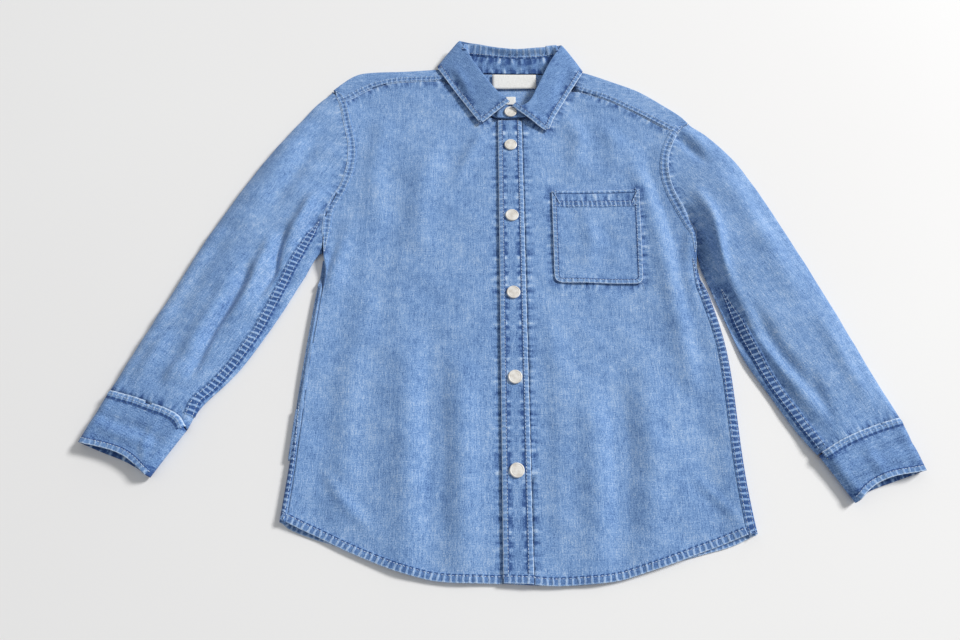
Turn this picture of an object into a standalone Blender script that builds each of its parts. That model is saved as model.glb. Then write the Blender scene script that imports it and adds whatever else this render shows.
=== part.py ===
"""Child's denim shirt, buttoned and laid flat on its back, sleeves out to the sides.

The shirt lies on z = 0.  +X points to the wearer's left sleeve, +Y to the collar, and the
origin is on the table below the middle of the shirt.  Tables and sizes are in millimetres.
Every cut piece is a cloth wall of its own: its face is a grid of points, and the wall's other
face is that grid moved in by the cloth's thickness.
"""

from collections import namedtuple
import math

import bmesh
import bpy
from mathutils import Vector

MM = 0.001

# Cloth and how it lies
CLOTH = 1.2             # wall of one layer of denim
DOUBLED = 1.9           # wall of a piece sewn from two layers: collar, stand, placket, cuffs
SEAM_GAP = 0.3          # between pieces that are sewn edge to edge
ARMHOLE_GAP = 1.0       # between sleeve and body, measured across the shirt
LAID_TOP = 3.4          # height of a front's face where it lies on the back
EDGE_LIFT = 2.6         # how much higher a front stands along its sides
EDGE_ROLL = 22.0        # width of the roll that takes the front up to that height
SIDE_RADIUS = 3.0       # the back turns up to the side seams with this radius
SHOULDER_RADIUS = 2.9   # the yoke turns over the shoulder with this radius

# Body, from the hem at the front up to the neck
UNDERARM_Y = 20.0
UNROLL_FROM_Y = -20.0   # over this length the back's turned up sides come down to the armholes
UNROLL_LENGTH = 18.0
CURL_POINTS = 7
BACK_ARMHOLE_INSET = 1.3
BACK_YOKE_SEAM_Y = 165.0
FRONT_EDGE_X = 24.0     # the right front ends here, below the placket
PLACKET_LEFT_X = 2.3
PLACKET_WIDTH = 25.2
PLACKET_TOP_Y = 177.6
NECK_MIDDLE_X = 17.0
NECK_HALF_WIDTH = 57.0  # beyond this the yoke turns over the shoulder
NECK_RISE = 1.0         # how far the yoke lifts to the back neck seam
YOKE_STEP = 1.6         # least spacing of the yoke's points where its end passes the shoulder
YOKE_SEAM_FACE = 5.0    # height of a front's face at its seam with the yoke
YOKE_SEAM_RISE = 30.0   # length over which the front climbs to that height
TUCKED_FACE = 2.7       # height of the right front's face below the placket
TUCK_WIDTH = 14.0       # width over which the right front goes down to that height
PLACKET_FACE = 5.4
PLACKET_STEP = 0.4      # how far below the placket's face the left front starts
PLACKET_SLOPE = 34.0    # width over which the left front comes down from the placket
PLACKET_EDGE_SHARE = 0.06
PLACKET_EDGE_DROP = 0.5
FOLD_MARGIN_SIDE = 20.0     # the soft folds fade out over this far from the sides
FOLD_MARGIN_TOP = 40.0      # and over this far from the yoke
FOLD_MARGIN_PLACKET = 60.0  # and over this far from the snaps
FRONT_CROWDING = 1.25       # the front's points lie closer together towards its side

# Sleeves and cuffs
ELBOW_FROM = 0.25       # share of the sleeve's length where the armhole's form ends
WRIST_FROM = 0.72       # share of its length where the cuff's form begins
ROLL_SHARE = 0.07       # share of a sleeve's width that its rolled edge takes
CUFF_ROLL_SHARE = 0.08
EDGE_CROWDING = 0.05    # a tube's points lie closer together towards its edges
UNDER_SHARE = 0.6       # the flat underside starts at this share of the roll
SLEEVE_CROWDING = 1.15  # the sleeve's rings lie closer together towards the armhole
SLEEVE_END = 0.998      # the sleeve stops at this share of its length, just short of the cuff

# Labels
NECK_LABEL_FACE = 4.2
NECK_LABEL_WALL = 1.0
SIZE_LABEL_FACE = 2.7
SIZE_LABEL_WALL = 0.8

# Which way a wall's thickness goes from its grid's normal
BACK_INWARD = 1.0
YOKE_INWARD = 1.0
STAND_INWARD = 1.0
TUBE_INWARD = {"right": 1.0, "left": -1.0}

# Fastening
SNAP_RADIUS = 6.6
SNAP_HEIGHT = 1.6
SNAP_X = 15.2
FIRST_SNAP_Y = 145.8
SNAP_SPACING = 83.6
PLACKET_SNAPS = 5
STAND_SNAP = (15.6, 185.8)


def table(columns, *rows):
    """Rows with named columns."""
    row_type = namedtuple("Row", columns)
    return [row_type(*row) for row in rows]


# Outline of the body: x of the side fold, left and right, and how far in the side seam lies
SIDES = table(
    "y right_edge right_seam left_edge left_seam",
    (-245, -185.5, 6.5, 215.5, 8.5),
    (-228, -184.6, 6.5, 213.4, 8.5),
    (-180, -181.0, 6.0, 211.2, 8.5),
    (-107, -177.4, 5.0, 211.6, 8.5),
    (-68, -174.6, 4.6, 209.4, 8.5),
    (-28, -171.4, 4.4, 201.8, 7.0),
    (-8, -169.4, 4.4, 196.4, 5.0),
    (20, -168.6, 4.4, 193.4, 4.4),
)
ARMHOLE_RIGHT = table(
    "x y",
    (-168.6, 20.0), (-169.6, 45.5), (-168.6, 65.8), (-163.5, 79.6), (-155.8, 97.1),
    (-150.6, 121.0), (-151.0, 145.5), (-157.0, 170.7), (-164.3, 199.1), (-174.2, 216.6),
)
ARMHOLE_LEFT = table(
    "x y",
    (193.4, 20.0), (195.0, 43.2), (190.6, 54.4), (182.8, 73.8), (176.7, 91.2),
    (173.4, 115.0), (177.5, 139.3), (187.9, 160.5), (202.4, 174.2),
)
HEM_FRONT = table(
    "x y",
    (-185.5, -228.0), (-157.7, -240.8), (-110.1, -261.2), (-70.5, -274.0), (-44.8, -278.4),
    (0, -279.6), (48, -281.4), (88.4, -278.6), (115.8, -272.2), (172.1, -253.8), (215.5, -238.0),
)
HEM_BACK = table(
    "x y",
    (-185.5, -231.4), (-174.9, -238.4), (-152.9, -246.2), (-132.5, -251.8), (-70.0, -271.0),
    (15, -277.0), (110, -270.0), (173.1, -256.4), (194.2, -250.8), (207.2, -246.6), (215.5, -241.0),
)
TOP_RIGHT = table(
    "x y",
    (-164.3, 199.1), (-153.1, 205.7), (-139.8, 215.0), (-124.1, 222.6), (-102.8, 227.0),
    (-62.9, 229.4), (-46.0, 228.0), (-36.0, 214.0), (-26.0, 199.0), (-14.0, 186.5), (0.0, 179.4),
    (24.0, 177.6),
)
TOP_LEFT = table(
    "x y",
    (27.8, 177.6), (45.0, 182.0), (60.0, 197.0), (70.0, 212.0), (90.7, 214.6), (116.8, 204.4),
    (142.3, 190.2), (162.3, 177.3), (187.9, 160.5),
)
SHOULDER = table(
    "x y",
    (-174.2, 216.6), (-162.7, 228.2), (-149.4, 238.0), (-125.5, 241.4), (-103.7, 242.0),
    (-63.5, 245.0), (-40.0, 246.0), (60.0, 246.0), (95.8, 240.6), (134.8, 224.2), (155.6, 214.0),
    (175.6, 198.9), (190.4, 187.0), (202.4, 174.2),
)
YOKE_END = table(
    "x y",
    (-174.2, 205.0), (-164.3, 199.1), (-153.1, 205.7), (-139.8, 215.0), (-124.1, 222.6),
    (-102.8, 227.0), (-62.9, 229.4), (-48.0, 230.5), (-43.0, 238.0), (-32.0, 240.2),
    (20.0, 239.8), (60.0, 239.2), (74.0, 235.0), (82.0, 221.0), (90.7, 214.6), (116.8, 204.4),
    (142.3, 190.2), (162.3, 177.3), (187.9, 160.5), (202.4, 156.0),
)

# Largest soft folds of the fronts: where each starts and ends, its height and half width
FRONT_FOLDS = table(
    "x0 y0 x1 y1 height reach",
    (-92, -40, -84, -262, 2.6, 26),
    (-34, -70, -28, -262, 2.2, 20),
    (78, -95, 84, -262, 2.4, 22),
    (148, -90, 140, -262, 2.2, 24),
    (128, 120, 168, -90, 2.0, 16),
    (-120, 150, -138, 30, 2.0, 24),
    (-92, 190, -70, 60, 1.6, 24),
)

# Sleeves: outer edge (over the shoulder), lower edge (below the arm) and the cuff's seam
SLEEVE_RIGHT_OUTER = table(
    "x y",
    (-174.2, 216.6), (-187.9, 205.5), (-204.7, 179.4), (-237.0, 129.2), (-262.7, 81.4),
    (-285.1, 36.0), (-302.8, -7.3), (-319.5, -48.6), (-336.5, -88.1), (-348.9, -118.4),
)
SLEEVE_RIGHT_LOWER = table(
    "x y",
    (-169.4, 20.0), (-176.6, 12.0), (-185.0, -8.5), (-204.5, -48.6), (-226.8, -88.1),
    (-241.0, -108.0), (-258.5, -126.5), (-269.0, -140.5), (-273.4, -153.6),
)
SLEEVE_LEFT_OUTER = table(
    "x y",
    (202.4, 174.2), (214.5, 166.6), (225.6, 154.0), (245.2, 129.2), (268.8, 81.4),
    (287.4, 36.0), (304.2, -7.3), (319.3, -48.6), (333.7, -88.1), (347.4, -125.8), (354.6, -143.4),
)
SLEEVE_LEFT_LOWER = table(
    "x y",
    (194.6, 20.0), (197.0, 2.0), (203.0, -19.0), (210.4, -44.5), (217.4, -68.0), (225.8, -92.2),
    (244.7, -125.3), (258.7, -151.9), (276.2, -175.6),
)
CUFF_SEAM_RIGHT = table(
    "x y",
    (-348.9, -118.4), (-322.7, -125.9), (-308.1, -131.2), (-293.9, -135.8), (-281.4, -142.4),
    (-273.4, -153.6),
)
CUFF_SEAM_LEFT = table(
    "x y",
    (354.6, -143.4), (327.4, -151.5), (298.3, -163.2), (276.2, -175.6),
)
# Height of the sleeve's upper face across its width: share of the width from the outer edge,
# height at the armhole, at the elbow and at the cuff
SLEEVE_RIGHT_RISE = table(
    "across armhole elbow wrist",
    (0.00, 5.6, 9.0, 8.6), (0.12, 6.2, 11.6, 10.2), (0.30, 6.4, 12.4, 10.6),
    (0.50, 6.4, 10.6, 10.4), (0.66, 6.4, 10.8, 10.8), (0.80, 6.4, 9.4, 10.2),
    (0.88, 6.2, 6.2, 9.0), (1.00, 6.0, 5.6, 8.2),
)
SLEEVE_LEFT_RISE = table(
    "across armhole elbow wrist",
    (0.00, 5.6, 9.0, 8.6), (0.14, 6.2, 12.0, 10.4), (0.36, 6.4, 13.4, 11.0),
    (0.56, 6.4, 13.2, 11.2), (0.70, 6.4, 11.4, 11.0), (0.80, 6.4, 6.4, 9.6),
    (0.88, 6.2, 5.4, 8.8), (1.00, 6.0, 5.0, 8.2),
)
# Cuffs: the lower end of each side, and the sag of the mouth's edge between them
CUFF_END_RIGHT = table("x y", (-366.8, -164.0), (-345.3, -172.6), (-322.0, -181.4), (-298.6, -194.6))
CUFF_END_LEFT = table("x y", (366.6, -188.4), (353.9, -192.8), (316.4, -205.4), (300.6, -215.8))
CUFF_FACE = 10.4

POCKET = table(
    "x y",
    (54.7, -10.6), (138.9, -12.6), (143.2, 91.0), (55.6, 90.6),
)
POCKET_WALL = 1.2
POCKET_LIFT = 0.7

# Collar, from the wearer's right front end round the neck to the left front end.
# fold: the roll at the top.  seam: where the leaf joins the stand.  mid and edge: the leaf.
COLLAR = table(
    "fold_x fold_y fold_z seam_x seam_y seam_z mid_x mid_y mid_z edge_x edge_y edge_z",
    (15.6, 197.0, 12.4, 13.6, 196.6, 9.2, 0.5, 185.8, 10.0, -16.0, 171.9, 6.8),
    (2.2, 210.4, 13.2, -0.4, 208.6, 9.4, -11.5, 199.0, 11.0, -28.6, 190.6, 7.4),
    (-12.0, 232.0, 13.6, -14.8, 230.4, 9.6, -26.5, 221.5, 11.4, -42.2, 211.6, 7.8),
    (-23.8, 252.5, 13.8, -27.0, 251.0, 9.8, -39.0, 242.5, 11.4, -54.2, 230.6, 8.2),
    (-38.6, 279.2, 13.2, -38.6, 274.2, 10.0, -50.6, 262.8, 10.4, -62.9, 245.0, 7.6),
    (-37.6, 279.8, 12.0, -36.6, 274.0, 9.6, -51.6, 265.0, 5.6, -62.0, 250.6, 4.2),
    (-30.0, 277.4, 12.4, -30.6, 271.6, 8.8, -42.0, 269.6, 0.4, -54.0, 255.4, 0.4),
    (-5.0, 270.6, 13.4, -5.6, 265.6, 8.4, -9.0, 273.2, 0.4, -14.0, 252.4, 0.4),
    (21.0, 266.4, 13.4, 21.0, 261.6, 8.2, 21.0, 270.0, 0.4, 21.0, 251.4, 0.4),
    (47.0, 268.8, 13.4, 47.4, 263.8, 8.4, 51.0, 271.8, 0.4, 56.0, 251.8, 0.4),
    (64.0, 272.0, 12.4, 63.6, 265.6, 8.8, 75.4, 265.4, 0.4, 86.4, 252.4, 0.4),
    (71.0, 273.8, 12.0, 70.0, 268.0, 9.6, 84.4, 259.6, 5.6, 93.6, 244.6, 4.2),
    (72.0, 273.2, 13.2, 72.0, 268.2, 10.0, 83.2, 257.4, 10.4, 94.4, 238.2, 7.6),
    (59.5, 252.5, 13.8, 62.6, 251.0, 9.8, 72.6, 239.4, 11.4, 86.0, 222.8, 8.2),
    (50.1, 230.7, 13.6, 53.0, 229.2, 9.6, 64.4, 219.6, 11.4, 77.4, 207.8, 7.8),
    (41.8, 211.6, 13.2, 44.6, 210.0, 9.4, 55.6, 201.2, 11.0, 68.8, 192.6, 7.4),
    (35.6, 197.0, 12.8, 37.8, 194.8, 9.6, 48.6, 187.4, 10.4, 60.6, 177.2, 7.0),
    (26.6, 191.4, 12.6, 28.4, 189.0, 9.8, 40.6, 181.4, 10.0, 56.0, 168.8, 6.8),
    (16.4, 191.8, 12.4, 18.0, 189.8, 9.8, 34.4, 177.6, 9.6, 52.3, 162.9, 6.6),
)
# Stand: its seam to the neck, and its upper edge inside the collar
STAND = table(
    "neck_x neck_y neck_z top_x top_y top_z",
    (25.0, 179.4, 3.6, 24.6, 195.0, 3.8),
    (2.0, 180.4, 3.6, 10.0, 196.4, 5.0),
    (-12.6, 189.6, 5.2, -1.8, 206.6, 7.2),
    (-23.6, 204.6, 5.4, -16.2, 228.4, 7.6),
    (-33.4, 222.0, 5.8, -28.4, 249.0, 7.8),
    (-39.6, 238.0, 5.8, -37.2, 268.0, 7.8),
    (-41.4, 241.6, 4.4, -38.4, 268.4, 6.8),
    (-38.4, 242.6, 3.2, -35.2, 268.0, 6.4),
    (-28.0, 242.2, 3.0, -28.4, 268.8, 7.0),
    (20.0, 240.8, 3.0, 21.0, 260.8, 7.4),
    (53.0, 240.6, 3.0, 61.4, 263.0, 7.0),
    (69.0, 239.6, 3.2, 68.6, 264.4, 6.4),
    (72.6, 238.4, 4.4, 72.4, 265.2, 6.8),
    (71.4, 234.4, 5.8, 71.0, 264.6, 7.8),
    (67.0, 217.0, 5.8, 63.2, 249.0, 7.8),
    (57.6, 200.4, 5.4, 53.4, 227.2, 7.6),
    (46.0, 187.6, 5.8, 45.4, 207.8, 7.2),
    (28.4, 179.8, 6.3, 31.4, 192.0, 6.6),
    (0.8, 179.4, 6.3, 1.2, 190.4, 6.3),
)
NECK_LABEL = table("x y", (-3.4, 219.6), (44.4, 220.0), (44.0, 238.2), (-3.2, 238.6))
SIZE_LABEL = table("x y", (11.2, 199.6), (21.6, 199.6), (21.6, 209.8), (11.2, 209.8))

DENIM = (0.22, 0.40, 0.68)
DENIM_INSIDE = (0.42, 0.54, 0.70)
PEARL = (0.62, 0.57, 0.50)
LABEL_WHITE = (0.86, 0.86, 0.84)


def lerp(start, end, share):
    return start + (end - start) * share


def fade(ratio):
    """1 at 0, and smoothly down to 0 at 1."""
    share = min(max(ratio, 0.0), 1.0)
    return 1.0 - share * share * (3.0 - 2.0 * share)


def read(rows, key, value, at):
    """The value column at a place along the key column, on a smooth curve through the rows."""
    rows = sorted(rows, key=lambda row: getattr(row, key))
    keys = [getattr(row, key) for row in rows]
    values = [getattr(row, value) for row in rows]
    at = min(max(at, keys[0]), keys[-1])
    last = len(keys) - 1
    slot = max(index for index in range(last) if keys[index] <= at)
    span = keys[slot + 1] - keys[slot]

    def slope(index):
        before = max(index - 1, 0)
        after = min(index + 1, last)
        return (values[after] - values[before]) / (keys[after] - keys[before])

    share = (at - keys[slot]) / span
    square = share * share
    cube = square * share
    return ((2 * cube - 3 * square + 1) * values[slot] + (cube - 2 * square + share) * span * slope(slot)
            + (3 * square - 2 * cube) * values[slot + 1] + (cube - square) * span * slope(slot + 1))


def along(rows, share):
    """The point at a share of the length of a smooth curve through the rows."""
    points = [Vector((row.x, row.y, 0.0)) for row in rows]
    curve = []
    steps = 8
    for index in range(len(points) - 1):
        before = points[max(index - 1, 0)]
        start = points[index]
        end = points[index + 1]
        after = points[min(index + 2, len(points) - 1)]
        for step in range(steps):
            t = step / steps
            curve.append(0.5 * (2 * start + (end - before) * t
                                + (2 * before - 5 * start + 4 * end - after) * t * t
                                + (3 * start - before - 3 * end + after) * t ** 3))
    curve.append(points[-1])
    lengths = [0.0]
    for start, end in zip(curve, curve[1:]):
        lengths.append(lengths[-1] + (end - start).length)
    target = min(max(share, 0.0), 1.0) * lengths[-1]
    slot = max(index for index in range(len(curve) - 1) if lengths[index] <= target + 1e-9)
    return curve[slot].lerp(curve[slot + 1], (target - lengths[slot]) / (lengths[slot + 1] - lengths[slot]))


def patch(start_side, end_side, near_end, far_end, across, down):
    """A point of the patch between four curves: two sides that run down, two ends that run across."""
    ruled_sides = along(start_side, down).lerp(along(end_side, down), across)
    ruled_ends = along(near_end, across).lerp(along(far_end, across), down)
    near_corners = along(start_side, 0).lerp(along(end_side, 0), across)
    far_corners = along(start_side, 1).lerp(along(end_side, 1), across)
    return ruled_sides + ruled_ends - near_corners.lerp(far_corners, down)


def paint(name, colour, roughness, metallic=0.0):
    material = bpy.data.materials.new(name)
    material.use_nodes = True
    shader = material.node_tree.nodes["Principled BSDF"]
    shader.inputs["Base Color"].default_value = (*colour, 1.0)
    shader.inputs["Roughness"].default_value = roughness
    shader.inputs["Metallic"].default_value = metallic
    return material


def add_object(name, mesh_data, material, smooth_angle=50):
    """A named object from a bmesh, its faces turned outwards and shaded smooth."""
    bmesh.ops.recalc_face_normals(mesh_data, faces=mesh_data.faces)
    mesh = bpy.data.meshes.new(name)
    mesh_data.to_mesh(mesh)
    mesh_data.free()
    mesh.shade_smooth()
    mesh.set_sharp_from_angle(angle=math.radians(smooth_angle))
    mesh.materials.append(material)
    item = bpy.data.objects.new(name, mesh)
    bpy.context.scene.collection.objects.link(item)
    return item


def grid_normals(rows, ring):
    """Unit normals of a grid of points; with ring, each row closes on itself."""
    count = len(rows[0])
    normals = []
    for index, row in enumerate(rows):
        above = rows[min(index + 1, len(rows) - 1)]
        below = rows[max(index - 1, 0)]
        line = []
        for place in range(count):
            after = (place + 1) % count if ring else min(place + 1, count - 1)
            before = (place - 1) % count if ring else max(place - 1, 0)
            normal = (row[after] - row[before]).cross(above[place] - below[place])
            line.append(normal.normalized())
        normals.append(line)
    return normals


def closed_wall(name, outer, inner, material, ring=False):
    """A closed wall between two grids of points in millimetres."""
    mesh_data = bmesh.new()
    outer_verts = [[mesh_data.verts.new(point * MM) for point in row] for row in outer]
    inner_verts = [[mesh_data.verts.new(point * MM) for point in row] for row in inner]
    count = len(outer[0])
    spans = count if ring else count - 1
    for face in (outer_verts, inner_verts):
        for low, high in zip(face, face[1:]):
            for place in range(spans):
                after = (place + 1) % count
                mesh_data.faces.new((low[place], low[after], high[after], high[place]))
    for end in (0, -1):
        for place in range(spans):
            after = (place + 1) % count
            mesh_data.faces.new((outer_verts[end][place], outer_verts[end][after],
                                 inner_verts[end][after], inner_verts[end][place]))
    if not ring:
        for end in (0, -1):
            for index in range(len(outer) - 1):
                mesh_data.faces.new((outer_verts[index][end], outer_verts[index + 1][end],
                                     inner_verts[index + 1][end], inner_verts[index][end]))
    return add_object(name, mesh_data, material)


def cloth_wall(name, rows, wall, material, ring=False, inward=None):
    """A cloth wall from the grid of its outer face.

    inward is 1 or -1 times the grid's normal; without it the wall goes straight down."""
    if inward is None:
        inner = [[point - Vector((0, 0, wall)) for point in row] for row in rows]
    else:
        normals = grid_normals(rows, ring)
        inner = [[point + normal * wall * inward for point, normal in zip(row, line)]
                 for row, line in zip(rows, normals)]
    return closed_wall(name, rows, inner, material, ring)


def folds_height(x, y):
    """How much the largest folds lift the fronts at a point."""
    lift = 0.0
    for fold in FRONT_FOLDS:
        start = Vector((fold.x0, fold.y0))
        run = Vector((fold.x1, fold.y1)) - start
        share = (Vector((x, y)) - start).dot(run) / run.length_squared
        held = min(max(share, 0.0), 1.0)
        away = (Vector((x, y)) - start - run * held).length / fold.reach
        lift += fold.height * fade(away * 0.7) * (0.35 + 0.65 * math.sin(math.pi * held))
    calm = fade(abs(x - SNAP_X) / FOLD_MARGIN_PLACKET)
    return lift * (1.0 - calm)


def body_side(y, side):
    """x of the body's edge at the side seam or the armhole; side is 'right' or 'left'."""
    armhole = ARMHOLE_RIGHT if side == "right" else ARMHOLE_LEFT
    if y > UNDERARM_Y:
        return read(armhole, "y", "x", y)
    return read(SIDES, "y", side + "_edge", y)


def front_side(y, side):
    """x of a front's outer edge: the side seam, or the armhole above it."""
    inward = 1.0 if side == "right" else -1.0
    inset = read(SIDES, "y", side + "_seam", y) * fade(y / UNDERARM_Y)
    return body_side(y, side) + inward * (inset + SEAM_GAP)


def front_height(x, y, side):
    """Height of a front's face: low in the middle, up the roll along its side and to the yoke."""
    top_rows = TOP_RIGHT if side == "right" else TOP_LEFT
    from_side = abs(x - front_side(y, side))
    from_top = read(top_rows, "x", "y", x) - y
    height = LAID_TOP + EDGE_LIFT * fade(from_side / EDGE_ROLL)
    height += ((YOKE_SEAM_FACE - LAID_TOP) * fade(from_top / YOKE_SEAM_RISE)
               * (1.0 - fade(from_side / EDGE_ROLL)))
    height += (folds_height(x, y) * fade(1.0 - from_side / FOLD_MARGIN_SIDE)
               * fade(1.0 - from_top / FOLD_MARGIN_TOP))
    if side == "right":
        tucked = fade((PLACKET_LEFT_X - SIDE_RADIUS - x) / TUCK_WIDTH)
        return lerp(height, TUCKED_FACE, tucked)
    beside = fade((x - PLACKET_LEFT_X - PLACKET_WIDTH) / PLACKET_SLOPE)
    return lerp(height, PLACKET_FACE - PLACKET_STEP, beside)


def solve_place(share_across, share_up, side_at, centre_x, bottom_rows, top_rows):
    """x and y of a point of a front, from its shares of the width and of the height."""
    x = centre_x
    y = 0.0
    for _ in range(12):
        bottom = read(bottom_rows, "x", "y", x)
        top = read(top_rows, "x", "y", x) - SEAM_GAP / 2
        y = lerp(bottom, top, share_up)
        x = lerp(side_at(y), centre_x, share_across)
    return x, y


def make_front(name, side, centre_x, material, across=11, up=22):
    top_rows = TOP_RIGHT if side == "right" else TOP_LEFT
    rows = []
    for step in range(up + 1):
        row = []
        for place in range(across + 1):
            share = (place / across) ** FRONT_CROWDING
            x, y = solve_place(share, step / up, lambda at: front_side(at, side), centre_x,
                               HEM_FRONT, top_rows)
            row.append(Vector((x, y, front_height(x, y, side))))
        rows.append(row)
    return cloth_wall(name, rows, CLOTH, material)


def curled_edge(edge_x, y, inset, turned, sign):
    """Points of the back's side, from the cut edge in: a share of it turns up and over."""
    whole = math.pi * SIDE_RADIUS + inset - SIDE_RADIUS
    curl = whole * turned
    end_angle = min(curl / SIDE_RADIUS, math.pi)
    tangent = SIDE_RADIUS * math.sin(min(end_angle, math.pi / 2))
    points = []
    for index in range(CURL_POINTS):
        left_to_curl = curl - whole * index / (CURL_POINTS - 1)
        angle = min(max(left_to_curl / SIDE_RADIUS, 0.0), math.pi)
        from_edge = tangent - SIDE_RADIUS * math.sin(angle)
        from_edge += max(left_to_curl - math.pi * SIDE_RADIUS, 0.0) + max(-left_to_curl, 0.0)
        points.append(Vector((edge_x + sign * from_edge, y, SIDE_RADIUS * (1.0 - math.cos(angle)))))
    return points


def make_back(material, across=9, up=17):
    """Back: flat on the table, its sides turned up and over to the side seams."""
    length = BACK_YOKE_SEAM_Y - HEM_BACK[0].y
    unroll = [(UNROLL_FROM_Y + UNROLL_LENGTH * step / 5 - HEM_BACK[0].y) / length for step in range(6)]
    shares = sorted([step / up for step in range(up + 1)
                     if not unroll[0] - 0.02 < step / up < unroll[-1] + 0.02] + unroll)
    rows = []
    for share_up in shares:
        row = []
        for side, sign, bottom_y in (("right", 1.0, HEM_BACK[0].y), ("left", -1.0, HEM_BACK[-1].y)):
            y = lerp(bottom_y, BACK_YOKE_SEAM_Y, share_up)
            turned = fade((y - UNROLL_FROM_Y) / UNROLL_LENGTH)
            edge_x = body_side(y, side) + sign * BACK_ARMHOLE_INSET * (1.0 - turned)
            points = curled_edge(edge_x, y, read(SIDES, "y", side + "_seam", y), turned, sign)
            if side == "right":
                row = points
                continue
            start, end = row[-1], points[-1]
            for place in range(1, across):
                x = lerp(start.x, end.x, place / across)
                bottom = read(HEM_BACK, "x", "y", x)
                row.append(Vector((x, lerp(bottom, BACK_YOKE_SEAM_Y, share_up), 0.0)))
            row.extend(reversed(points))
        rows.append(row)
    return cloth_wall("back", rows, CLOTH, material, inward=BACK_INWARD)


def yoke_section(x):
    """y and z of the yoke's outer face at x: flat, round the shoulder, and forward on top."""
    fold_y = read(SHOULDER, "x", "y", x)
    front_top = read(TOP_RIGHT if x < NECK_MIDDLE_X else TOP_LEFT, "x", "y", x)
    front_y = max(read(YOKE_END, "x", "y", x), front_top) + SEAM_GAP
    start_y = BACK_YOKE_SEAM_Y + SEAM_GAP
    flat = fold_y - SHOULDER_RADIUS - start_y
    turn = math.pi * SHOULDER_RADIUS
    whole_length = flat + turn + fold_y - SHOULDER_RADIUS - front_y
    over = 1.0 - fade((abs(x - NECK_MIDDLE_X) - NECK_HALF_WIDTH) / 12.0)
    length = lerp(front_y - start_y, whole_length, over)
    stops = [0.0, flat * 0.5, flat] + [flat + turn * step / 4 for step in (1, 2, 3, 4)] + [whole_length]
    section = []
    for index, stop in enumerate(stops):
        place = min(stop, length - (len(stops) - 1 - index) * YOKE_STEP)
        if index == len(stops) - 1:
            place = length
        angle = min(max((place - flat) / SHOULDER_RADIUS, 0.0), math.pi)
        y = start_y + min(place, flat) + SHOULDER_RADIUS * math.sin(angle) - max(place - flat - turn, 0.0)
        z = SHOULDER_RADIUS * (1.0 - math.cos(angle))
        lift = NECK_RISE * (max(place, 0.0) / flat) ** 4 * (1.0 - over)
        section.append((y, z + lift))
    return section


def make_yoke(material, across=30):
    """Yoke: from its seam across the back, over the shoulders to the seams with the fronts."""
    rows = [[] for _ in yoke_section(0.0)]
    for place in range(across + 1):
        share = place / across
        for index, row in enumerate(rows):
            x = lerp(ARMHOLE_RIGHT[-1].x, ARMHOLE_LEFT[-1].x, share)
            for _ in range(10):
                y, z = yoke_section(x)[index]
                left = body_side(y, "right") + SEAM_GAP
                right = body_side(y, "left") - SEAM_GAP
                x = lerp(left, right, share)
            row.append(Vector((x, y, z)))
    return cloth_wall("yoke", rows, CLOTH, material, inward=YOKE_INWARD)


def sleeve_rise(rows, across, down):
    """Height of the sleeve's upper face, smooth from armhole to elbow to wrist."""
    armhole = read(rows, "across", "armhole", across)
    elbow = read(rows, "across", "elbow", across)
    wrist = read(rows, "across", "wrist", across)
    if down < ELBOW_FROM:
        return lerp(elbow, armhole, fade(down / ELBOW_FROM))
    return lerp(wrist, elbow, fade((down - WRIST_FROM) / (1.0 - WRIST_FROM)))


def tube_ring(place_at, rise_at, roll_share, top_count, bottom_count):
    """One closed ring of a flattened tube: over the top from edge to edge, and back below."""
    ring = []
    for index in range(top_count + 1):
        across = index / top_count
        eased = across - EDGE_CROWDING * math.sin(2 * math.pi * across)
        edge = min(eased, 1.0 - eased)
        point = place_at(eased)
        height = rise_at(eased)
        round_share = min(edge / roll_share, 1.0)
        lift = math.sqrt(max(1.0 - (1.0 - round_share) ** 2, 0.0))
        point.z = height * (0.5 + 0.5 * lift)
        ring.append(point)
    for index in range(bottom_count + 1):
        across = 1.0 - index / bottom_count
        inset = lerp(roll_share * UNDER_SHARE, 1.0 - roll_share * UNDER_SHARE, across)
        point = place_at(inset)
        point.z = 0.0
        ring.append(point)
    return ring


def make_sleeve(name, side, material, rings=14):
    """Sleeve: a flattened tube from the armhole to the cuff's seam, open at both ends."""
    if side == "right":
        armhole = ARMHOLE_RIGHT[::-1]
        outer, lower = SLEEVE_RIGHT_OUTER, SLEEVE_RIGHT_LOWER
        seam, rise = CUFF_SEAM_RIGHT, SLEEVE_RIGHT_RISE
        out = Vector((-1, 0, 0))
    else:
        armhole = ARMHOLE_LEFT[::-1]
        outer, lower = SLEEVE_LEFT_OUTER, SLEEVE_LEFT_LOWER
        seam, rise = CUFF_SEAM_LEFT, SLEEVE_LEFT_RISE
        out = Vector((1, 0, 0))
    rows = []
    for step in range(rings + 1):
        down = (step / rings) ** SLEEVE_CROWDING

        def place_at(across):
            shift = out * ARMHOLE_GAP * (1.0 - down)
            return patch(outer, lower, armhole, seam, across, down * SLEEVE_END) + shift

        rows.append(tube_ring(place_at, lambda across: sleeve_rise(rise, across, down),
                              ROLL_SHARE, 11, 6))
    return cloth_wall(name, rows, CLOTH, material, ring=True, inward=TUBE_INWARD[side])


def make_cuff(name, side, material, rings=3):
    """Cuff: a short flattened tube of two layers with an open mouth."""
    seam = CUFF_SEAM_RIGHT if side == "right" else CUFF_SEAM_LEFT
    end = CUFF_END_RIGHT if side == "right" else CUFF_END_LEFT
    rows = []
    for step in range(rings + 1):
        down = step / rings

        def place_at(across):
            start = along(seam, across)
            finish = along(end, across)
            run = (finish - start).normalized()
            return (start + run * SEAM_GAP * 2).lerp(finish, down)

        rows.append(tube_ring(place_at, lambda across: CUFF_FACE, CUFF_ROLL_SHARE, 10, 6))
    return cloth_wall(name, rows, DOUBLED, material, ring=True, inward=TUBE_INWARD[side])


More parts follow.
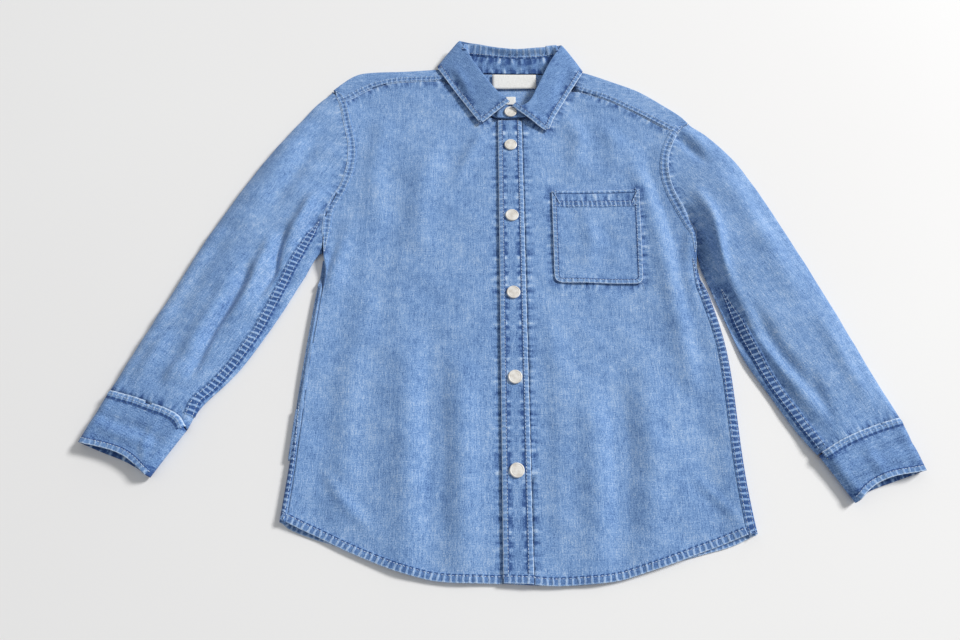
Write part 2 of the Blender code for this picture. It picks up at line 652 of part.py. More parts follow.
def make_flat_piece(name, corners, across, up, face_at, wall, material):
    """A four-cornered piece laid on a face: corners run round from the lower right side."""
    points = [Vector((row.x, row.y, 0.0)) for row in corners]
    rows = []
    for step in range(up + 1):
        start = points[0].lerp(points[3], step / up)
        end = points[1].lerp(points[2], step / up)
        row = []
        for place in range(across + 1):
            point = start.lerp(end, place / across)
            point.z = face_at(point.x, point.y)
            row.append(point)
        rows.append(row)
    return cloth_wall(name, rows, wall, material)


def make_placket(material, up=12):
    """Placket: the doubled band of the left front, over the right front."""
    left_x = PLACKET_LEFT_X
    right_x = PLACKET_LEFT_X + PLACKET_WIDTH
    rows = []
    for step in range(up + 1):
        row = []
        for share in (0.0, PLACKET_EDGE_SHARE, 0.5, 1.0 - PLACKET_EDGE_SHARE, 1.0):
            x = lerp(left_x, right_x, share)
            bottom = read(HEM_FRONT, "x", "y", x)
            softened = PLACKET_EDGE_DROP if share in (0.0, 1.0) else 0.0
            row.append(Vector((x, lerp(bottom, PLACKET_TOP_Y, step / up), PLACKET_FACE - softened)))
        rows.append(row)
    return cloth_wall("placket", rows, DOUBLED, material)


def make_collar(material):
    """Collar leaf: up from the stand to a roll, and from there out or down to its outer edge."""
    outer = []
    for row in COLLAR:
        fold = Vector((row.fold_x, row.fold_y, row.fold_z))
        mid = Vector((row.mid_x, row.mid_y, row.mid_z))
        edge = Vector((row.edge_x, row.edge_y, row.edge_z))
        seam = Vector((row.seam_x, row.seam_y, row.seam_z))
        outer.append([seam, fold, fold.lerp(mid, 0.5), mid, mid.lerp(edge, 0.5), edge])
    normals = grid_normals(outer, False)
    inner = []
    for row, line in zip(outer, normals):
        points = [point + normal * CLOTH for point, normal in zip(row, line)]
        seam, fold, leaf = row[:3]
        to_seam = (seam - fold).normalized()
        to_leaf = (leaf - fold).normalized()
        bend = to_seam.cross(to_leaf).length
        points[1] = fold + (to_seam + to_leaf) * CLOTH / bend
        across_seam = (to_leaf - to_seam * to_leaf.dot(to_seam)).normalized()
        points[0] = seam + across_seam * CLOTH
        inner.append(points)
    return closed_wall("collar", outer, inner, material)


def make_stand(material):
    """Collar stand: a band round the neck, folded flat at both sides of it."""
    rows = []
    for row in STAND:
        neck = Vector((row.neck_x, row.neck_y, row.neck_z))
        top = Vector((row.top_x, row.top_y, row.top_z))
        rows.append([neck.lerp(top, share) for share in (0.0, 0.33, 0.67, 1.0)])
    return cloth_wall("collar_stand", rows, CLOTH, material, inward=STAND_INWARD)


def make_snap(name, x, y, base, material, sides=16):
    """Snap cap: a low turned disc with a rounded rim."""
    profile = (
        (0.0, 0.0), (SNAP_RADIUS - 0.6, 0.0), (SNAP_RADIUS, 0.5), (SNAP_RADIUS - 0.2, 1.1),
        (SNAP_RADIUS - 1.0, SNAP_HEIGHT), (SNAP_RADIUS - 2.0, SNAP_HEIGHT - 0.2), (0.0, SNAP_HEIGHT - 0.1),
    )
    mesh_data = bmesh.new()
    verts = [mesh_data.verts.new((radius * MM, 0, height * MM)) for radius, height in profile]
    for start, end in zip(verts, verts[1:]):
        mesh_data.edges.new((start, end))
    bmesh.ops.spin(mesh_data, geom=mesh_data.verts[:] + mesh_data.edges[:], cent=(0, 0, 0),
                   axis=(0, 0, 1), angle=math.tau, steps=sides, use_duplicate=False)
    bmesh.ops.remove_doubles(mesh_data, verts=mesh_data.verts, dist=0.00001)
    item = add_object(name, mesh_data, material, smooth_angle=35)
    item.location = Vector((x, y, base)) * MM
    return item


def main():
    for item in list(bpy.data.objects):
        bpy.data.objects.remove(item, do_unlink=True)
    denim = paint("denim", DENIM, 0.85)
    inside = paint("denim_inside", DENIM_INSIDE, 0.9)
    pearl = paint("pearl_snap", PEARL, 0.35)
    white = paint("woven_label", LABEL_WHITE, 0.8)

    make_back(denim)
    make_yoke(inside)
    make_front("front_right", "right", FRONT_EDGE_X, denim)
    make_front("front_left", "left", PLACKET_LEFT_X + PLACKET_WIDTH + SEAM_GAP, denim)
    make_placket(denim)
    make_flat_piece("pocket", POCKET, 7, 8,
                    lambda x, y: front_height(x, y, "left") + POCKET_LIFT + POCKET_WALL,
                    POCKET_WALL, denim)
    for side in ("right", "left"):
        make_sleeve("sleeve_" + side, side, denim)
        make_cuff("cuff_" + side, side, denim)
    make_stand(denim)
    make_collar(denim)
    make_flat_piece("neck_label", NECK_LABEL, 4, 2, lambda x, y: NECK_LABEL_FACE, NECK_LABEL_WALL, white)
    make_flat_piece("size_label", SIZE_LABEL, 1, 1, lambda x, y: SIZE_LABEL_FACE, SIZE_LABEL_WALL, white)
    for index in range(PLACKET_SNAPS):
        y = FIRST_SNAP_Y - index * SNAP_SPACING
        make_snap("snap_%d" % (index + 2), SNAP_X, y, PLACKET_FACE + SEAM_GAP, pearl)
    make_snap("snap_1", *STAND_SNAP, STAND[-1].neck_z + CLOTH + SEAM_GAP, pearl)


main()
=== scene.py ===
from collections import namedtuple
import math

import bmesh
import bpy
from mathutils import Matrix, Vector
from mathutils.bvhtree import BVHTree
import numpy as np


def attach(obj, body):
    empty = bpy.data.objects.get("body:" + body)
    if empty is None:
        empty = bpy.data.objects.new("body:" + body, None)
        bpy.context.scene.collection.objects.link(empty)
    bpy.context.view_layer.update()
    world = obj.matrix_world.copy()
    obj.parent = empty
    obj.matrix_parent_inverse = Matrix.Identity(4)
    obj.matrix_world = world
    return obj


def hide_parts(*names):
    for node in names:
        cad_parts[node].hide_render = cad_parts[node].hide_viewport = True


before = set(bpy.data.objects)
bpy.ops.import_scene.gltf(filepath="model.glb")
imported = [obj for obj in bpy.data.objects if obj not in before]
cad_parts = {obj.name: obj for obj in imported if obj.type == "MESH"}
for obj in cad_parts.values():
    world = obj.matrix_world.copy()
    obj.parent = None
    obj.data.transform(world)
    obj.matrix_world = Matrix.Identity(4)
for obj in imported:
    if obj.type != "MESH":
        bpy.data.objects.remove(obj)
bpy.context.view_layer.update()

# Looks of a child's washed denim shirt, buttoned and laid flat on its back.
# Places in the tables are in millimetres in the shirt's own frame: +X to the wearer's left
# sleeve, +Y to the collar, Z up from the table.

MM = 0.001
SCENE = bpy.context.scene
CLOTH_UV = "cloth"      # metres across and along the warp
SEAM_UV = "seam"        # on a panel: metres from the nearest seam, metres along it
#                         on a seam: -1 to 1 across it, metres along it


# ---------------------------------------------------------------- outlines and folds

HEM_RIGHT = [(-183.5, -229.0), (-157.7, -240.8), (-110.1, -261.2), (-70.5, -274.0),
             (-44.8, -278.4), (2.0, -279.8)]
HEM_LEFT = [(28.0, -280.6), (48.0, -281.4), (88.4, -278.6), (115.8, -272.2), (172.1, -253.8),
            (205.6, -241.6)]
HEM_BACK = [(-183.5, -232.4), (-174.9, -238.4), (-152.9, -246.2), (-132.5, -251.8),
            (-70.0, -271.0), (15.0, -277.0), (110.0, -270.0), (173.1, -256.4), (194.2, -250.8),
            (213.0, -242.4)]
ARMHOLE_RIGHT = [(-169.2, 22.0), (-169.6, 45.5), (-168.6, 65.8), (-163.5, 79.6), (-155.8, 97.1),
                 (-150.6, 121.0), (-151.0, 145.5), (-157.0, 170.7), (-164.3, 199.1),
                 (-172.0, 213.0)]
ARMHOLE_LEFT = [(194.0, 22.0), (195.0, 43.2), (190.6, 54.4), (182.8, 73.8), (176.7, 91.2),
                (173.4, 115.0), (177.5, 139.3), (187.9, 160.5), (196.6, 168.8)]
YOKE_RIGHT = [(-162.0, 200.2), (-153.1, 205.7), (-139.8, 215.0), (-124.1, 222.6),
              (-102.8, 227.0), (-62.9, 229.4), (-50.0, 229.8)]
YOKE_LEFT = [(84.0, 219.0), (90.7, 214.6), (116.8, 204.4), (142.3, 190.2), (162.3, 177.3),
             (184.0, 163.0)]
SIDE_RIGHT = [(-180.4, -130.0), (-181.0, -180.0), (-184.6, -228.0)]
SIDE_ROLL_RIGHT = [(-169.2, 14.0), (-170.4, -8.0), (-172.4, -28.0), (-175.6, -68.0),
                   (-178.4, -107.0), (-181.0, -150.0), (-182.4, -180.0)]
SIDE_LEFT = [(194.0, 14.0), (196.4, -8.0), (201.8, -28.0), (209.4, -68.0), (211.6, -107.0),
             (211.2, -180.0), (213.4, -228.0), (214.8, -239.0)]
SLEEVE_SEAM_RIGHT = [(-176.0, 53.9), (-186.6, 30.5), (-198.3, 1.4), (-210.1, -29.9),
                     (-222.5, -60.2), (-239.0, -89.4), (-255.6, -113.0), (-267.9, -126.9),
                     (-273.0, -140.5)]
SLEEVE_SEAM_LEFT = [(212.3, -19.6), (221.1, -45.2), (229.7, -70.0), (238.9, -94.2),
                    (249.1, -115.8), (260.0, -136.0), (270.1, -153.9), (277.9, -167.8)]
CUFF_SEAM_RIGHT = [(-346.5, -119.2), (-322.7, -125.9), (-308.1, -131.2), (-293.9, -135.8),
                   (-281.4, -142.4), (-275.2, -151.0)]
CUFF_SEAM_LEFT = [(352.0, -144.4), (327.4, -151.5), (298.3, -163.2), (278.6, -174.2)]
CUFF_MOUTH_RIGHT = [(-363.8, -165.2), (-345.3, -172.6), (-322.0, -181.4), (-301.6, -193.2)]
CUFF_MOUTH_LEFT = [(363.6, -189.4), (353.9, -192.8), (316.4, -205.4), (303.2, -213.8)]
POCKET_CORNERS = [(54.7, -10.6), (138.9, -12.6), (143.2, 91.0), (55.6, 90.6)]
COLLAR_RIGHT = [(14.6, 196.0), (-0.2, 184.4), (-15.0, 172.7), (-20.0, 177.6), (-28.6, 190.6),
                (-42.2, 211.6), (-54.2, 230.6), (-62.4, 243.6)]
COLLAR_LEFT = [(17.4, 190.6), (34.4, 176.8), (51.9, 163.7), (57.4, 168.6), (60.6, 177.2),
               (68.8, 192.6), (77.4, 207.8), (86.0, 222.8), (93.8, 236.8)]
PLACKET_LEFT, PLACKET_RIGHT = 2.3, 27.5     # its edges, as seen from the front
PLACKET_ENDS = (-279.0, 177.0)
SNAPS = [(15.6, 185.8, 7.9)] + [(15.2, 145.8 - 83.6 * row, 5.7) for row in range(5)]

# Folds laid into the cloth.  Height above the cloth and half width in millimetres;
# a height below zero is a trough.
Fold = namedtuple("Fold", "height reach path")
FOLDS = {
    "front_right": [
        # the trough below the chest, the ridges on both sides of it, and the side creases
        (-2.2, 10, [(-61, -66), (-57, -120), (-54, -180), (-52, -262)]),
        (3.6, 13, [(-84, -80), (-80, -140), (-78, -200), (-76, -264)]),
        (3.4, 12, [(-34, -90), (-32, -160), (-31, -220), (-30, -272)]),
        (2.6, 6, [(-165, 26), (-172, -2), (-177, -32)]),
        (-1.6, 4, [(-156, 34), (-162, 8), (-168, -26)]),
        (2.8, 9, [(-145, 56), (-152, 20), (-160, -24)]),
        (3.0, 14, [(-124, -40), (-134, -120), (-130, -235)]),
        (-1.6, 10, [(-100, 70), (-110, 0), (-106, -60)]),
        (2.6, 13, [(-58, 156), (-76, 90), (-72, 20)]),
        (2.2, 11, [(-118, 176), (-124, 120), (-118, 60)]),
        (2.0, 7, [(-8, 162), (-24, 142), (-38, 108)]),
        (1.6, 5, [(-150, -190), (-132, -214), (-110, -236)])],
    "front_left": [
        # the trough beside the placket side, and the long soft fold from the armhole
        (-2.2, 10, [(107, -112), (106, -160), (104, -210), (100, -264)]),
        (3.6, 13, [(130, -100), (130, -180), (124, -258)]),
        (3.2, 13, [(80, -120), (82, -200), (78, -270)]),
        (4.2, 10, [(140, 132), (148, 96), (159, 40), (168, -40), (175, -115)]),
        (-2.0, 9, [(158, 132), (166, 92), (178, 36), (184, -24)]),
        (2.6, 7, [(189, 40), (182, 8), (186, -34)]),
        (2.4, 14, [(48, -40), (56, -140), (50, -244)]),
        (2.2, 9, [(72, 184), (86, 160), (80, 118)]),
        (2.0, 11, [(110, 178), (122, 150), (120, 112)]),
        (1.5, 5, [(168, -196), (186, -214), (200, -230)])],
    "pocket": [
        (1.6, 7, [(84, 66), (92, 40), (88, 8)]),
        (-0.9, 7, [(104, 60), (110, 34), (104, 6)])],
    "sleeve_right": [
        # the roll below the armhole, the short sharp crease and the long one
        (6.2, 7, [(-172, 84), (-183, 77), (-191, 57), (-203, 33)]),
        (-4.0, 5, [(-178, 62), (-186, 46), (-196, 26)]),
        (-5.0, 4, [(-205, 44), (-212, 22), (-213, -1), (-224, -27)]),
        (4.4, 6, [(-219, 34), (-226, 8), (-234, -22), (-246, -48)]),
        (-4.6, 4.5, [(-238, 6), (-242, -14), (-252, -38), (-263, -62), (-269, -84), (-275, -104)]),
        (3.8, 8, [(-250, 0), (-262, -36), (-274, -62), (-282, -88), (-290, -114)]),
        (3.4, 13, [(-200, 156), (-226, 104), (-248, 56)]),
        (-3.2, 9, [(-186, 150), (-202, 112), (-222, 70)]),
        (-2.6, 10, [(-262, 40), (-284, -10), (-304, -66)]),
        (2.6, 7, [(-300, -60), (-313, -88), (-321, -106)]),
        (1.8, 5, [(-288, -92), (-294, -104), (-297, -112)])],
    "sleeve_left": [
        # the roll that runs down into the armpit, and the ridge above the seam
        (6.4, 6.5, [(201, 84), (209, 62), (212, 40), (213, 6), (222, -26), (233, -52)]),
        (-6.5, 5, [(190, 66), (197, 34), (199, 0), (207, -30), (216, -56), (228, -84)]),
        (-2.6, 5, [(184, 161), (194, 149), (204, 136), (212, 124)]),
        (2.4, 7, [(196, 166), (207, 151), (217, 134)]),
        (4.6, 7, [(226, -46), (242, -82), (260, -110), (277, -140)]),
        (-1.6, 5, [(279, -100), (285, -124), (292, -148)]),
        (-3.4, 6, [(238, -40), (254, -78), (271, -106), (284, -128)]),
        (3.2, 13, [(222, 116), (246, 64), (266, 12), (284, -40)]),
        (-2.8, 10, [(242, 112), (264, 62), (284, 10)]),
        (2.8, 8, [(296, -46), (310, -88), (326, -128)])],
    "cuff_right": [
        (-2.0, 4, [(-356, -138), (-334, -148), (-312, -154), (-292, -166)]),
        (2.0, 5, [(-350, -150), (-330, -160), (-304, -168)]),
        (1.6, 4, [(-300, -150), (-306, -166), (-304, -184)])],
    "cuff_left": [
        (-2.0, 4, [(360, -164), (336, -170), (312, -180), (294, -190)]),
        (2.0, 5, [(356, -176), (330, -184), (306, -194)]),
        (1.6, 5, [(318, -170), (322, -186), (330, -200)])],
    "yoke": [
        (-3.2, 6, [(192, 160), (198, 168), (204, 176)])],
    "collar": [
        (-1.8, 5, [(-52, 236), (-42, 222), (-36, 206)]),
        (1.6, 5, [(-44, 242), (-34, 222), (-26, 204)]),
        (-1.8, 5, [(80, 238), (72, 220), (64, 200)]),
        (1.4, 5, [(30, 186), (40, 178), (52, 174)])],
}
FOLDS = {piece: [Fold(*row) for row in rows] for piece, rows in FOLDS.items()}

# Wall of each CAD piece, the direction of its warp in degrees from +X, and how much it rumples
Piece = namedtuple("Piece", "wall warp rumple")
SLEEVE_TURN = 61.3
PIECES = {
    "back": Piece(1.2, 90, 0.0), "yoke": Piece(1.2, 0, 0.15),
    "front_right": Piece(1.2, 90, 0.34), "front_left": Piece(1.2, 90, 0.34),
    "placket": Piece(1.9, 90, 0.12), "pocket": Piece(1.2, 90, 0.22),
    "sleeve_right": Piece(1.2, SLEEVE_TURN, 0.5), "sleeve_left": Piece(1.2, -SLEEVE_TURN, 0.5),
    "cuff_right": Piece(1.9, -25, 0.3), "cuff_left": Piece(1.9, 22, 0.3),
    "collar_stand": Piece(1.2, 0, 0.12), "collar": Piece(1.2, 0, 0.2),
    "neck_label": Piece(1.0, 0, 0.1), "size_label": Piece(0.8, 0, 0.0),
}
FINE_LEVELS = 3
LONGEST_EDGE = 30.0
POCKET_CORNER = 6.0
MOUTH_GAPE = 4.2
MAX_CORRECTION = 0.8    # millimetres that a point of the smooth form is brought back by


# ---------------------------------------------------------------- paths

def smooth_path(points, step=1.1):
    """Evenly spaced points along a smooth curve through the given ones, in millimetres."""
    points = np.array(points, float)
    ends = np.vstack([2 * points[0] - points[1], points, 2 * points[-1] - points[-2]])
    share = np.linspace(0, 1, 24, endpoint=False)[:, None]
    curve = []
    for before, start, end, after in zip(ends, ends[1:], ends[2:], ends[3:]):
        curve.append(0.5 * (2 * start + (end - before) * share
                            + (2 * before - 5 * start + 4 * end - after) * share ** 2
                            + (3 * start - before - 3 * end + after) * share ** 3))
    curve = np.vstack(curve + [points[-1:]])
    return even_path(curve, step)


def even_path(curve, step):
    length = np.concatenate([[0], np.cumsum(np.linalg.norm(np.diff(curve, axis=0), axis=1))])
    count = max(int(round(length[-1] / step)), 2)
    at = np.linspace(0, length[-1], count + 1)
    return np.stack([np.interp(at, length, curve[:, axis]) for axis in range(curve.shape[1])], 1)


def beside(path, away):
    """The path moved to its left by a distance."""
    run = np.gradient(path, axis=0)
    run /= np.linalg.norm(run, axis=1)[:, None]
    return path + np.stack([-run[:, 1], run[:, 0]], 1) * away


def nearest_on(path, places):
    """Distance to the path, and length along it, for each place."""
    best = np.full(len(places), 1e9)
    along = np.zeros(len(places))
    walked = 0.0
    for start, end in zip(path, path[1:]):
        run = end - start
        length = np.linalg.norm(run)
        share = np.clip((places - start) @ run / length ** 2, 0, 1)
        away = np.linalg.norm(places - start - share[:, None] * run, axis=1)
        closer = away < best
        best[closer] = away[closer]
        along[closer] = walked + share[closer] * length
        walked += length
    return best, along, walked


def rumple(places, seed, longest=70.0, shortest=18.0):
    """Soft uneven ground of about -1 to 1, from waves that run in all directions."""
    draw = np.random.RandomState(seed)
    ground = np.zeros(len(places))
    for _ in range(7):
        angle = draw.uniform(0, math.tau)
        wave = draw.uniform(shortest, longest)
        shift = draw.uniform(0, math.tau)
        line = places @ np.array([math.cos(angle), math.sin(angle)])
        ground += np.sin(line * math.tau / wave + shift) / 3.0
    return ground


SEAM_LINES = [smooth_path(line, 6.0) for line in (
    ARMHOLE_RIGHT, ARMHOLE_LEFT, YOKE_RIGHT, YOKE_LEFT, SLEEVE_SEAM_RIGHT, SLEEVE_SEAM_LEFT,
    CUFF_SEAM_RIGHT, CUFF_SEAM_LEFT, HEM_RIGHT, HEM_LEFT, SIDE_LEFT,
    [(PLACKET_LEFT, -279), (PLACKET_LEFT, 0), (PLACKET_LEFT, 177)],
    [(PLACKET_RIGHT, -279), (PLACKET_RIGHT, 0), (PLACKET_RIGHT, 177)],
    CUFF_MOUTH_RIGHT, CUFF_MOUTH_LEFT, COLLAR_RIGHT, COLLAR_LEFT,
    POCKET_CORNERS[1:3], POCKET_CORNERS[:2], POCKET_CORNERS[::3], [(58.6, 81.0), (139.4, 81.0)])]
STAND_LINES = [smooth_path(line, 6.0) for line in (
    [(-30.0, 243.0), (21.0, 239.0), (66.0, 242.0)], [(-35.0, 263.0), (21.0, 257.0), (68.0, 261.0)])]


# ---------------------------------------------------------------- materials

def add_node(tree, kind, **settings):
    """A node with some of its properties set."""
    node = tree.nodes.new(kind)
    for key, value in settings.items():
        setattr(node, key, value)
    return node


def feed(tree, node, **sockets):
    """Sets or links a node's inputs; s0, s1 are sockets by index and others go by name."""
    for key, value in sockets.items():
        socket = node.inputs[int(key[1:])] if key[0] == "s" and key[1:].isdigit() else \
            node.inputs[key.replace("_", " ")]
        if isinstance(value, bpy.types.NodeSocket):
            tree.links.new(value, socket)
        else:
            socket.default_value = value
    return node.outputs[0] if len(node.outputs) else None


def mixed(tree, factor, low, high):
    """A colour between two, each a colour or a socket."""
    node = add_node(tree, "ShaderNodeMix", data_type="RGBA")
    feed(tree, node, Factor=factor, s6=low, s7=high)
    return node.outputs[2]


def sums(tree, operation, *values, clamp=False):
    node = add_node(tree, "ShaderNodeMath", operation=operation, use_clamp=clamp)
    return feed(tree, node, **{"s%d" % index: value for index, value in enumerate(values)})


def noise(tree, vector, scale, detail=2.0, roughness=0.5):
    node = add_node(tree, "ShaderNodeTexNoise", noise_dimensions="3D")
    feed(tree, node, Vector=vector, Scale=scale, Detail=detail, Roughness=roughness)
    return node.outputs["Fac"]


def stretched(tree, vector, across, along):
    node = add_node(tree, "ShaderNodeMapping")
    return feed(tree, node, Vector=vector, Scale=(across, along, 1.0))


def spread(tree, value, low, high, new_low=0.0, new_high=1.0):
    node = add_node(tree, "ShaderNodeMapRange", interpolation_type="SMOOTHSTEP")
    return feed(tree, node, s0=value, s1=low, s2=high, s3=new_low, s4=new_high)


def new_group(name, inputs, outputs):
    group = bpy.data.node_groups.new(name, "ShaderNodeTree")
    for kind, default, title in inputs:
        socket = group.interface.new_socket(title, in_out="INPUT", socket_type=kind)
        if default is not None:
            socket.default_value = default
    for kind, title in outputs:
        group.interface.new_socket(title, in_out="OUTPUT", socket_type=kind)
    return group, group.nodes.new("NodeGroupInput"), group.nodes.new("NodeGroupOutput")


TWILL_PITCH = 0.00105   # metres between the slanting ribs


def washed_denim_group():
    """Colour and height of washed denim: slubs along the warp, twill, and uneven fading."""
    group, given, out = new_group("washed denim", [
        ("NodeSocketVector", None, "Cloth"),
        ("NodeSocketColor", (0.035, 0.095, 0.29, 1), "Deep"),
        ("NodeSocketColor", (0.212, 0.376, 0.679, 1), "Middle"),
        ("NodeSocketColor", (0.55, 0.68, 0.86, 1), "Faded"),
        ("NodeSocketFloat", 0.0, "Wash"),
        ("NodeSocketFloat", 1.0, "Contrast"),
    ], [("NodeSocketColor", "Colour"), ("NodeSocketFloat", "Height"), ("NodeSocketFloat", "Roughness")])
    cloth = given.outputs["Cloth"]
    slub = noise(group, stretched(group, cloth, 950, 150), 1.0, 3.0, 0.6)
    long_slub = noise(group, stretched(group, cloth, 420, 17), 1.0, 2.0, 0.55)
    weft = noise(group, stretched(group, cloth, 60, 950), 1.0, 1.0, 0.5)
    grain = noise(group, cloth, 900.0, 2.0, 0.7)
    blotch = noise(group, cloth, 21.0, 3.0, 0.55)
    cloud = noise(group, cloth, 120.0, 2.0, 0.6)
    split = add_node(group, "ShaderNodeSeparateXYZ")
    feed(group, split, Vector=cloth)
    slant = sums(group, "MULTIPLY_ADD", split.outputs[0], 0.55, split.outputs[1])
    twill = sums(group, "SINE", sums(group, "MULTIPLY", slant, math.tau / TWILL_PITCH))
    value = sums(group, "MULTIPLY_ADD", sums(group, "SUBTRACT", slub, 0.5), 0.62, 0.0)
    for part, strength in ((long_slub, 0.24), (weft, 0.16), (grain, 0.95), (blotch, 0.3), (cloud, 0.34)):
        value = sums(group, "MULTIPLY_ADD", sums(group, "SUBTRACT", part, 0.5), strength, value)
    value = sums(group, "MULTIPLY_ADD", twill, 0.045, value)
    value = sums(group, "MULTIPLY", value, given.outputs["Contrast"])
    value = sums(group, "ADD", value, given.outputs["Wash"])
    value = sums(group, "ADD", value, 0.5, clamp=True)
    darker = mixed(group, sums(group, "MULTIPLY", value, 2.0, clamp=True),
                   given.outputs["Deep"], given.outputs["Middle"])
    colour = mixed(group, sums(group, "MULTIPLY_ADD", value, 2.0, -1.0, clamp=True),
                   darker, given.outputs["Faded"])
    feed(group, out, Colour=colour)
    height = sums(group, "MULTIPLY_ADD", twill, 0.16, sums(group, "MULTIPLY", slub, 0.9))
    height = sums(group, "MULTIPLY_ADD", grain, 0.5, height)
    feed(group, out, Height=height, Roughness=spread(group, slub, 0.3, 0.7, 0.95, 0.82))
    return group


def seam_wash_and_painted_light_group():
    """How a seam fades, with painted light: a worn edge, lighter partly as a painted highlight, a channel
    beside the stitches darkened as painted shade of its groove, and pucker bars.
    """
    group, given, out = new_group("seam wash", [
        ("NodeSocketVector", None, "Seam"),
        ("NodeSocketFloat", 200.0, "Bars per metre"),
        ("NodeSocketFloat", 0.5, "Bars"),
        ("NodeSocketFloat", -0.5, "Channel at"),
        ("NodeSocketFloat", 0.5, "Channel"),
        ("NodeSocketFloat", 0.3, "Edge"),
    ], [("NodeSocketFloat", "Wash"), ("NodeSocketFloat", "Height")])
    split = add_node(group, "ShaderNodeSeparateXYZ")
    feed(group, split, Vector=given.outputs["Seam"])
    across, along = split.outputs[0], split.outputs[1]
    turns = sums(group, "MULTIPLY", along, given.outputs["Bars per metre"])
    lane = add_node(group, "ShaderNodeCombineXYZ")
    feed(group, lane, X=turns, Y=across)
    drift = noise(group, lane.outputs[0], 0.45, 1.0, 0.5)
    ragged = noise(group, lane.outputs[0], 2.7, 2.0, 0.6)
    phase = sums(group, "MULTIPLY_ADD", drift, 0.7, turns)
    phase = sums(group, "MULTIPLY_ADD", across, 0.08, phase)
    swing = sums(group, "SINE", sums(group, "MULTIPLY", phase, math.tau))
    swing = sums(group, "MULTIPLY_ADD", sums(group, "SUBTRACT", ragged, 0.5), 1.1, swing)
    bars = spread(group, swing, -0.1, 0.9)
    away = sums(group, "ABSOLUTE", across)
    body = spread(group, away, 0.62, 1.0, 1.0, 0.25)
    # The edge: lighter where the cloth is frayed and worn, and partly a painted highlight along it.
    frayed_and_highlit = sums(group, "MULTIPLY_ADD", sums(group, "SUBTRACT", ragged, 0.5), 0.5, across)
    edge = spread(group, frayed_and_highlit, 0.62, 0.95)
    beside_channel = sums(group, "ABSOLUTE", sums(group, "SUBTRACT", across, given.outputs["Channel at"]))
    channel = spread(group, beside_channel, 0.08, 0.34, 1.0, 0.0)
    # Painted shade: the groove beside the stitches is darkened, a little less on the pucker bars.
    painted_groove_shade = sums(group, "MULTIPLY", channel, given.outputs["Channel"])
    painted_groove_shade = sums(group, "MULTIPLY", painted_groove_shade, spread(group, bars, 0.0, 1.0, 1.0, 0.55))
    # The seam's wash: the worn edge, lighter partly as a painted highlight, minus the painted shade of
    # the groove, plus the pucker bars.
    wash = sums(group, "MULTIPLY", edge, given.outputs["Edge"])
    wash = sums(group, "SUBTRACT", wash, painted_groove_shade)
    ladder = sums(group, "MULTIPLY", sums(group, "SUBTRACT", bars, 0.42), body)
    wash = sums(group, "MULTIPLY_ADD", ladder, given.outputs["Bars"], wash)
    feed(group, out, Wash=wash)
    height = sums(group, "MULTIPLY_ADD", bars, 0.9, sums(group, "MULTIPLY", channel, -1.2))
    feed(group, out, Height=height)
    return group


def use_group(tree, group, **sockets):
    node = add_node(tree, "ShaderNodeGroup", node_tree=group)
    feed(tree, node, **sockets)
    return node


def new_material(name, **principled):
    material = bpy.data.materials.new(name)
    material.use_nodes = True
    shader = material.node_tree.nodes["Principled BSDF"]
    for key, value in principled.items():
        shader.inputs[key.replace("_", " ")].default_value = value
    return material, material.node_tree, shader


def add_bump(tree, shader, height, strength, distance):
    bump = add_node(tree, "ShaderNodeBump")
    feed(tree, bump, Strength=strength, Distance=distance, Height=height)
    feed(tree, shader, Normal=bump.outputs[0])


def uv_of(tree, name):
    return add_node(tree, "ShaderNodeUVMap", uv_map=name).outputs[0]


PUCKER_REACH = 0.011    # metres from a seam
WASHED = washed_denim_group()
SEAM_WASH_AND_PAINTED_LIGHT = seam_wash_and_painted_light_group()


def new_denim(name, wash_and_height, tones, contrast, bump, depth):
    """A denim material; wash_and_height gives the sockets of its tree for both."""
    material, tree, shader = new_material(name, Sheen_Weight=0.12, Sheen_Roughness=0.5,
                                          Specular_IOR_Level=0.22)
    wash, height, gain = wash_and_height(tree)
    denim = use_group(tree, WASHED, Cloth=uv_of(tree, CLOTH_UV), Deep=tones[0], Middle=tones[1],
                      Faded=tones[2], Wash=wash, Contrast=contrast)
    feed(tree, shader, Base_Color=denim.outputs["Colour"], Roughness=denim.outputs["Roughness"])
    height = sums(tree, "MULTIPLY_ADD", height, gain, denim.outputs["Height"])
    add_bump(tree, shader, height, bump, depth)
    return material


def denim_panel(name, tones, near_seam=0.3, contrast=1.0, wash=0.0):
    """Denim of a panel: it darkens and puckers softly next to its seams."""
    def puckered(tree):
        split = add_node(tree, "ShaderNodeSeparateXYZ")
        feed(tree, split, Vector=uv_of(tree, SEAM_UV))
        away, along = split.outputs[0], split.outputs[1]
        near = spread(tree, away, 0.0, PUCKER_REACH, 1.0, 0.0)
        lane = add_node(tree, "ShaderNodeCombineXYZ")
        feed(tree, lane, X=sums(tree, "MULTIPLY", along, 210.0), Y=sums(tree, "MULTIPLY", away, 60.0))
        bars = sums(tree, "SUBTRACT", noise(tree, lane.outputs[0], 1.0, 1.0, 0.4), 0.56)
        puckers = sums(tree, "MULTIPLY", bars, near)
        return sums(tree, "MULTIPLY_ADD", puckers, near_seam * 5.0, wash), puckers, 5.0

    return new_denim(name, puckered, tones, contrast, 0.5, 0.0004)


def denim_seam(name, tones, per_metre, bars, channel_at, channel, edge, wash):
    """Denim of a sewn seam or hem, with painted shade in the groove beside its stitches and a worn edge
    lightened partly as a painted highlight.
    """
    def sewn(tree):
        seam = use_group(tree, SEAM_WASH_AND_PAINTED_LIGHT, Seam=uv_of(tree, SEAM_UV), Bars_per_metre=per_metre,
                         Bars=bars, Channel_at=channel_at, Channel=channel, Edge=edge)
        return sums(tree, "ADD", seam.outputs["Wash"], wash), seam.outputs["Height"], 1.0

    return new_denim(name, sewn, tones, 0.9, 0.6, 0.0005)


